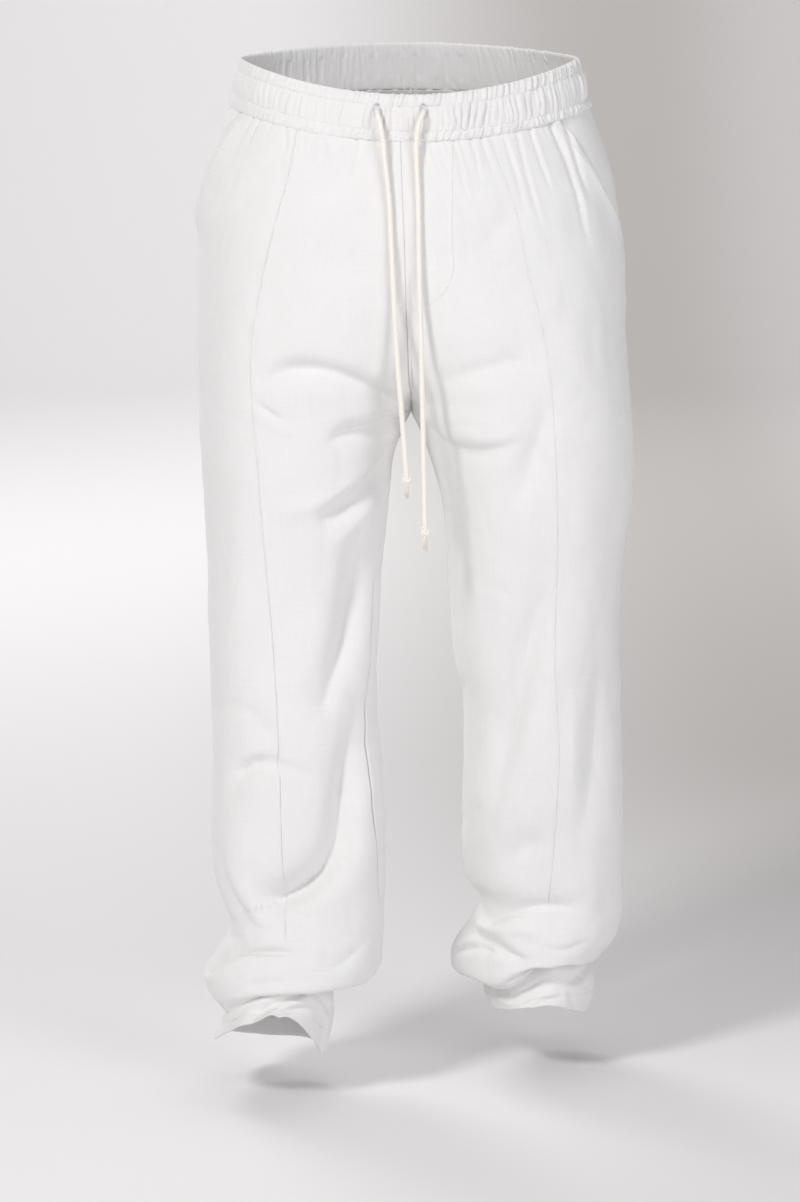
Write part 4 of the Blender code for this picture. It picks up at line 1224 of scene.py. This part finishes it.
def front_panel(leg, other, material):
    """The front: pocket mouth or side seam, pintuck, and the middle seam or inseam. The left one laps
    past the middle over the right one."""
    down = leg.stations()
    at_pocket = (down < POCKET_END)[:, None]
    gape = pocket_gape(down)[:, None]
    start, start_height = seam_columns(leg, down, leg.pocket_mouth(down), 1)
    sewn = 1 - ease(POCKET_END - down, 0, 0.5)[:, None]
    start_height = start_height * sewn + (POCKET_EDGE + gape) * at_pocket
    end, end_height = seam_columns(leg, down, leg.middle(down), -1)
    end, end_height = end[:, ::-1], end_height[:, ::-1]
    tuck, tuck_height = pintuck_columns(leg, down)
    first, second = PLAIN_COLUMNS["front"]
    before = np.linspace(start[:, -1], tuck[:, 0], first + 1, axis=1)[:, 1:-1]
    after = np.linspace(tuck[:, -1], end[:, 0], second + 1, axis=1)[:, 1:-1]
    fade = np.linspace(1, 0, 16)
    before_height = np.zeros(before.shape)
    before_height[:, : len(fade)] = gape * fade**1.5 + POCKET_EDGE * at_pocket * fade**3
    angle = np.concatenate([start, before, tuck, after, end], axis=1)
    heights = [start_height, before_height, tuck_height, np.zeros(after.shape), end_height]
    proud = np.concatenate(heights, axis=1)
    grain = start.shape[1] + before.shape[1] + 4
    name = f"front_{leg.side}"
    lap = ease(LAP_END - down, 0, 2)[:, None]
    if leg.side == "right":
        proud[:, -len(SEAM_PROFILE) :] *= 1 - lap
        return panel(name, leg, down, angle, proud, grain, material)
    across = leg.bare(down[:, None], angle)[..., 0]
    proud = proud * (1 - lap * (across < 0.4)) + lap_lift(down[:, None], across)
    return panel(name, leg, down, angle, proud, grain, material, fly_lap(leg, other, down))


def fly_lap(leg, other, down):
    """Adds the strip of the left front that laps past the middle and lies on the right front. Below the
    crotch it is only the panel's own edge."""
    rows = np.flatnonzero(down < LAP_END - 0.6)
    table = np.array(LAP)
    share = np.array([0.04, 0.15, 0.35, 0.6, 0.8, 0.92, 0.98, 1.0])
    across = np.interp(down[rows], table[:, 0], table[:, 1])[:, None] * share
    level = leg.bare(down[rows], leg.middle(down[rows]))[:, 2]
    fine = np.linspace(0, RISE_END, 800)
    below = np.interp(-level, -other.bare(fine, other.middle(fine))[:, 2], fine)
    below = np.broadcast_to(below[:, None], across.shape)
    angle = other.angle_at(below, across)
    strip = other.bare(below, angle)
    strip_out = other.normal(below, angle)
    proud = LAP_LIFT * ease(LAP_END - below, 0, 2) + 0.002
    strip = (strip + (other.relief(below, angle, strip) + proud)[..., None] * strip_out) * CM

    def add(points, out, hem, hem_out):
        """The panel's grids with the strip's columns after their last one."""
        found = []
        for grid in (points, hem):
            edge = grid[:, -1:]
            ahead = unit(edge - grid[:, -2:-1])
            found.append(edge + ahead * np.arange(1, len(share) + 1)[:, None] * 1e-5)
        found[0][rows] = strip
        more_out = np.repeat(out[:, -1:], len(share), axis=1)
        more_out[rows] = strip_out
        return (
            np.concatenate([points, found[0]], axis=1),
            np.concatenate([out, more_out], axis=1),
            np.concatenate([hem, found[1]], axis=1),
            np.concatenate([hem_out, np.repeat(hem_out[:, -1:], len(share), axis=1)], axis=1),
        )

    return add


def back_panel(leg, material):
    """The back, from the side seam round to the seat seam or the inseam."""
    down = leg.stations()
    start, start_height = seam_columns(leg, down, leg.side_seam(down), -1)
    middle = leg.middle(down)
    middle = np.where(leg.ring(down)[:, 3] < 0, -middle, middle - 2 * math.pi)
    end, end_height = seam_columns(leg, down, middle, 1)
    end, end_height = end[:, ::-1], end_height[:, ::-1]
    plain_columns = np.linspace(start[:, -1], end[:, 0], PLAIN_COLUMNS["back"] + 1, axis=1)[:, 1:-1]
    angle = np.concatenate([start, plain_columns, end], axis=1)
    proud = np.concatenate([start_height, np.zeros(plain_columns.shape), end_height], axis=1)
    return panel(f"back_{leg.side}", leg, down, angle, proud, angle.shape[1] // 2, material)


def pocket_facing(leg, material):
    """The cloth behind the slanted mouth, from the side seam to under the front."""
    down = leg.stations()
    down = down[down < POCKET_END]
    start, start_height = seam_columns(leg, down, leg.side_seam(down), 1)
    edge = leg.pocket_mouth(down)
    end = leg.shift(down, np.maximum(edge, start[:, -1]), 1.6)
    plain_columns = np.linspace(start[:, -1], end, 16, axis=1)[:, 1:]
    angle = np.concatenate([start, plain_columns], axis=1)
    under = ease(angle, (edge - 0.10)[:, None], (edge + 0.01)[:, None])
    proud = np.concatenate([start_height, np.zeros(plain_columns.shape)], axis=1) - 0.20 * under
    points, out = leg.cloth(down[:, None], angle, proud)
    uv = np.stack(np.broadcast_arrays(run_lengths(points), down[:, None] * CM), axis=-1)
    name = f"pocket_facing_{leg.side}"
    return stand_for(thicken(grid_mesh(name, points, uv, material, out), CLOTH), name)


def fly_facing(leg, material):
    """Under the left front, from the middle to inside the J of the fly's stitching."""
    down = leg.stations()
    end, bend = FLY_FACING["end"], FLY_FACING["bend"]
    down = down[down < end]
    fall = np.clip((down - end + bend) / bend, 0, 1)
    width = FLY_FACING["width"] * np.sqrt(1 - fall**2)
    across = np.linspace(np.full_like(width, 0.3), np.maximum(width, 0.4), 12, axis=1)
    angle = leg.angle_at(np.broadcast_to(down[:, None], across.shape), across)
    points, out = leg.cloth(down[:, None], angle, -0.15)
    uv = np.stack(np.broadcast_arrays(across * CM, down[:, None] * CM), axis=-1)
    obj = grid_mesh("fly_facing", points, uv, material, out)
    return stand_for(thicken(obj, CLOTH), "fly_facing")


def band_surface(angle, height, proud):
    """Points of the waistband, in metres, and its outward vectors. Angle 0 is the wearer's left and a
    quarter turn is the front. Height goes from 0 at the waist seam to 1 at the top."""
    table = np.array(BAND_ROWS)
    rows = smooth_table(table[:, 0], table[:, 1:], height)
    outer_right, outer_left, front, side, back, z_side, z_front, z_back = np.moveaxis(rows, -1, 0)
    extra = (np.minimum(height, 0) + np.maximum(height - 1, 0)) * BAND_WIDTH
    c = np.cos(angle)
    s = np.sin(angle)
    mean = (np.abs(c) ** BAND_SQUARE + np.abs(s) ** BAND_SQUARE) ** (1 / BAND_SQUARE)
    x = (np.where(c > 0, outer_left, outer_right) + proud) * c / mean
    y = side - (np.where(s > 0, side - front, back - side) + proud) * s / mean
    z = z_side * c**2 + np.where(s > 0, z_front, z_back) * s**2 + extra
    out = np.stack([c, -s, 0 * c], axis=-1)
    return np.stack([x, y, z], axis=-1) * CM, out


def band_gathers(run, height, loose):
    """Puffs of cloth between narrow creases at uneven places: 1 - |2 t - 1| ** 4, where t goes from one
    crease to the next. Each stitched zone has its own."""
    run, height = np.broadcast_arrays(run, height)
    found = np.zeros(run.shape)
    for bottom, top, spacing, seed in BAND_ZONES:
        places = uneven_places(0, BAND_AROUND, spacing, seed)
        places = np.concatenate([[-1], places, [BAND_AROUND + 1]])
        deep = np.random.default_rng(seed + 70).uniform(0.35, 1.25, len(places))
        inside = (height >= bottom) & (height < top)
        place = np.stack([run[inside], height[inside] * BAND_WIDTH, 0 * run[inside]], axis=-1)
        lean = 0.3 * (height[inside] - bottom) / (top - bottom)
        at = run[inside] + lean + 0.22 * value_noise(place / 1.4, seed)
        k = np.clip(np.searchsorted(places, at) - 1, 0, len(places) - 2)
        width = places[k + 1] - places[k]
        t = ((at - places[k]) / width) ** (0.6 + 0.9 * deep[k])
        puff = (1 - np.abs(2 * t - 1) ** 4) * np.minimum(width / spacing, 1.3)
        found[inside] = puff * deep[k] + 0.25 * value_noise(place * np.array([3.4, 0.9, 1]), seed + 5)
    return found * loose


def band_height(angle, height):
    """Moves the lower stitched row: it lies higher on the wearer's right than on the left."""
    return height - 0.055 * np.cos(angle) * np.clip(1 - np.abs(height - BAND_STITCHES[0]) / 0.3, 0, 1)


def band_outline():
    """Rows of the doubled band, up the outside, over the top and down the inside: their heights, how far
    the cloth stands out, how deep its gathers are, and how many of them are outside."""
    table = np.array(BAND_PROFILE)
    finer = np.linspace(0, len(table) - 1, 3 * len(table) - 2)
    outside = np.interp(finer, np.arange(len(table)), table[:, 0])
    shape = smooth_table(table[:, 0], table[:, 1:], outside)
    inside = np.concatenate([[0.97, 0.92, 0.86], np.linspace(0.82, 0.0, 16)])
    under = 0.05 - BAND_THICKNESS + 0.03 * ease(0.16 - inside, 0, 0.16)
    height, proud, depth = np.concatenate(
        [
            np.stack([outside, *shape.T], axis=-1),
            BAND_TOP,
            np.stack([inside, under, 0.06 + 0 * inside], axis=-1),
            BAND_FOOT,
        ]
    ).T[..., None]
    return height, proud, depth, len(outside)


def sink_eyelets(angle, rising, proud, outside):
    """Pits in the outside of the band, each an ellipse with a low welt round it."""
    facing = (np.sin(angle) > 0.5) & (np.arange(len(proud)) < outside)[:, None]
    for x, z in EYELETS.values():
        points, _ = band_surface(angle[None, :], rising, proud)
        away = np.hypot((points[..., 0] / CM - x) / 0.30, (points[..., 2] / CM - z - 0.12) / 0.60)
        welt = 0.05 * np.exp(-(((away - 1.35) / 0.25) ** 2))
        proud = proud + facing * (welt - 0.31 * ease(1.15 - away, 0, 0.45))
    return proud


def waistband(material):
    """A closed ring of doubled cloth: up the gathered outside, over the top and down the inside. Also
    returns its two rows of stitching."""
    angle = np.linspace(0, math.tau, BAND_COLUMNS, endpoint=False)
    middle, _ = band_surface(angle, np.full_like(angle, 0.5), 0.0)
    closed_run = path_run(np.concatenate([middle, middle[:1]])) / CM
    run, around = closed_run[:-1], closed_run[-1]
    seamless = ease(run, 0, 1.0) * ease(around - run, 0, 1.0)
    smooth_side = ease(-np.cos(angle), 0.1, 0.6) * ease(np.sin(angle), 0.0, 0.3)
    height, proud, depth, outside = band_outline()
    puffs = band_gathers(run, np.clip(height, -0.03, 1.0), seamless * (1.4 - 0.95 * smooth_side))
    wave = 0.012 * ((height > 0.95) & (height < 1.02)) * (puffs - 0.4)
    rising = band_height(angle, height)
    proud = sink_eyelets(angle, rising, proud + depth * (puffs - 0.5), outside)
    points, out = band_surface(angle[None, :], rising + wave, proud)
    along = np.concatenate([[0], np.cumsum(np.abs(np.diff(height[:, 0])))]) * BAND_WIDTH * CM
    along = np.concatenate([along, along[-1:] + 0.001])
    uv = np.stack(np.broadcast_arrays(closed_run * CM, along[:, None]), axis=-1)
    facing = np.where(np.arange(len(height)) < outside + 2, 1, -1)[:, None, None]
    outward = np.broadcast_to(out, points.shape) * facing
    obj = grid_mesh("waistband", points, uv, material, outward, around=True, through=True)
    rows = []
    for level in BAND_STITCHES:
        row = np.argmin(np.abs(height[:outside, 0] - level))
        rows.append([np.concatenate([grid, grid[:1]]) for grid in (points[row], out[0])])
    return stand_for(obj, "waistband"), rows


def cord_route(side):
    """The path of a free end, moved forwards off the cloth that it hangs against."""
    route = np.array(CORDS[side])
    below = ease(-route[:, 2], 3.0, 6.0)
    route[:, 1] -= CORD_LIFT * below
    return smooth_path(route * CM, 0.0007)


def drawstring(side, material):
    """A braided cord: strands cross as cos(6 a + k s) cos(6 a - k s) round and along it."""
    path = cord_route(side)
    name = f"drawstring_{side}"

    def braid(run, turn):
        """Share by which the radius grows."""
        climb = run * math.tau / BRAID_PITCH
        return 0.035 * np.cos(6 * turn + climb) * np.cos(6 * turn - climb)

    side_way = np.broadcast_to(np.array([1.0, 0.0, 0.0]), path.shape)
    obj = tube(name, path, side_way, CORD_DIAMETER / 2, 24, material, braid)
    return stand_for(obj, name), path


def knot(side, end, material):
    """An overhand knot: a tube along a trefoil that winds twice round a small ring. Also gives its centre,
    below which the frayed end hangs."""
    name = f"drawstring_knot_{side}"
    t = np.linspace(0, math.tau, 260)
    c, s = np.cos(2 * t), np.sin(2 * t)
    reach = KNOT_RING + KNOT_WIND * np.cos(3 * t)
    path = np.stack([reach * c, 1.1 * KNOT_WIND * np.sin(3 * t), 1.35 * reach * s], axis=-1)
    side_way = np.stack([np.cos(3 * t) * c, np.sin(3 * t), np.cos(3 * t) * s], axis=-1)
    centre = end + np.array([0.0, 0.0, -KNOT_DROP])
    obj = tube(name, centre + path * CM, side_way, KNOT_RADIUS, 14, material)
    return stand_for(obj, name), centre


def frayed_end(side, centre, material):
    """Loose threads that spread as they fall: each bends outwards by the square of the way down."""
    chance = np.random.default_rng(31 if side == "left" else 32)
    count, rows, sides = FRAY_THREADS, FRAY_ROWS, 4
    t = np.linspace(0, 1, rows)[:, None]
    turn = chance.uniform(0, math.tau, count)
    spread = chance.uniform(0.02, 0.30, count)
    length = chance.uniform(1.0, 1.75, count)
    curl = chance.uniform(-0.08, 0.08, (2, count))
    start = 0.13 * chance.uniform(0, 1, count) ** 0.5
    reach = start + (spread - 0.4 * start) * t**1.6
    x = reach * np.cos(turn) + curl[0] * np.sin(t * 5)
    y = 0.7 * reach * np.sin(turn) + curl[1] * np.sin(t * 4)
    z = -length * t - 0.30
    path = np.stack([x, y, z], axis=-1) * CM + centre
    turns = np.arange(sides) * math.tau / sides
    width = FRAY_WIDTH * (1 - 0.6 * t)
    ring = np.stack([np.cos(turns), np.sin(turns), 0 * turns], axis=-1)
    points = path[:, :, None] + width[..., None, None] * ring
    points = np.moveaxis(points, 1, 0)
    faces, _ = grid_faces(rows, sides, around=True)
    caps = [np.arange(sides)[::-1], (rows - 1) * sides + np.arange(sides)]
    faces = np.concatenate([faces, caps])
    faces = (np.arange(count)[:, None, None] * rows * sides + faces).reshape(-1, 4)
    obj = add_mesh(f"frayed_end_{side}", points.reshape(-1, 3), faces, np.zeros((faces.size, 2)), material)
    attach(obj)
    return obj


def seam_stitching(leg, material):
    """Topstitching beside the pocket mouth, round the hem and, on the left, in the J of the fly."""
    down = np.linspace(0.2, POCKET_END - 0.3, 120)
    beside = leg.shift(down, leg.pocket_mouth(down), POCKET_STITCH)
    rows = [leg.cloth(down, beside, POCKET_EDGE + pocket_gape(down) * (1 - POCKET_STITCH / 9))]
    start = leg.side_seam(np.array([leg.length]))[0]
    turn = np.linspace(start, start + math.tau, 260)
    rows.append(leg.cloth(np.full_like(turn, leg.length - HEM_DEPTH + 0.15), turn))
    if leg.side == "left":
        across, level = smooth_path(FLY_STITCH, 0.25).T
        fine = np.linspace(0, RISE_END, 1200)
        below = np.interp(-level, -leg.bare(fine, leg.angle_at(fine, 0 * fine + 2.5))[:, 2], fine)
        rows.append(leg.cloth(below, leg.angle_at(below, across), lap_lift(below, across)))
    obj = stitches(f"stitching_{leg.side}", rows, material)
    attach(obj)
    return obj


def eyelet_stitching(side, material):
    """Thread worked round an eyelet: short stitches that point away from its middle, from an ellipse a
    little outside the hole to a larger one. They follow the band's front, -10.54 + 0.015 * x squared."""
    x, z = EYELETS[side]
    rows = []
    for turn in np.arange(EYELET_STITCHES) * math.tau / EYELET_STITCHES:
        across = x + np.array([0.22, 0.36]) * math.cos(turn)
        height = z + np.array([0.40, 0.56]) * math.sin(turn)
        depth = -10.54 + 0.015 * across**2 + np.array([0.06, 0.0])
        rows.append((np.stack([across, depth, height], axis=-1) * CM, np.tile([0.0, -1.0, 0.0], (2, 1))))
    obj = stitches(f"eyelet_{side}", rows, material, pitch=0.0016, length=0.0019, width=0.0005)
    attach(obj)
    return obj


def cords():
    """Both free ends of the drawstring, each with its knot and its frayed end."""
    for side in CORDS:
        material = cotton(f"drawstring_{side}_cotton")
        cord, path = drawstring(side, material)
        tied, centre = knot(side, path[-1], material)
        frayed_end(side, centre, material)


def build():
    """The whole scene: the cords, both legs, the fly and the waistband, in their studio."""
    add_camera()
    add_world()
    cords()
    legs = {side: Leg(side) for side in ("right", "left")}
    cloth = linen()
    thread = sewing_thread()
    for side, leg in legs.items():
        other = legs["left" if side == "right" else "right"]
        front_panel(leg, other, cloth)
        seam_stitching(leg, thread)
        back_panel(leg, cloth)
        pocket_facing(leg, cloth)
    fly_facing(legs["left"], cloth)
    band, rows = waistband(cloth)
    band_thread = stitches("band_stitching", rows, thread)
    attach(band_thread)
    [band_thread] + [eyelet_stitching(side, thread) for side in legs]
    for light in LIGHTS:
        add_light(*light)
    add_stage()


build()
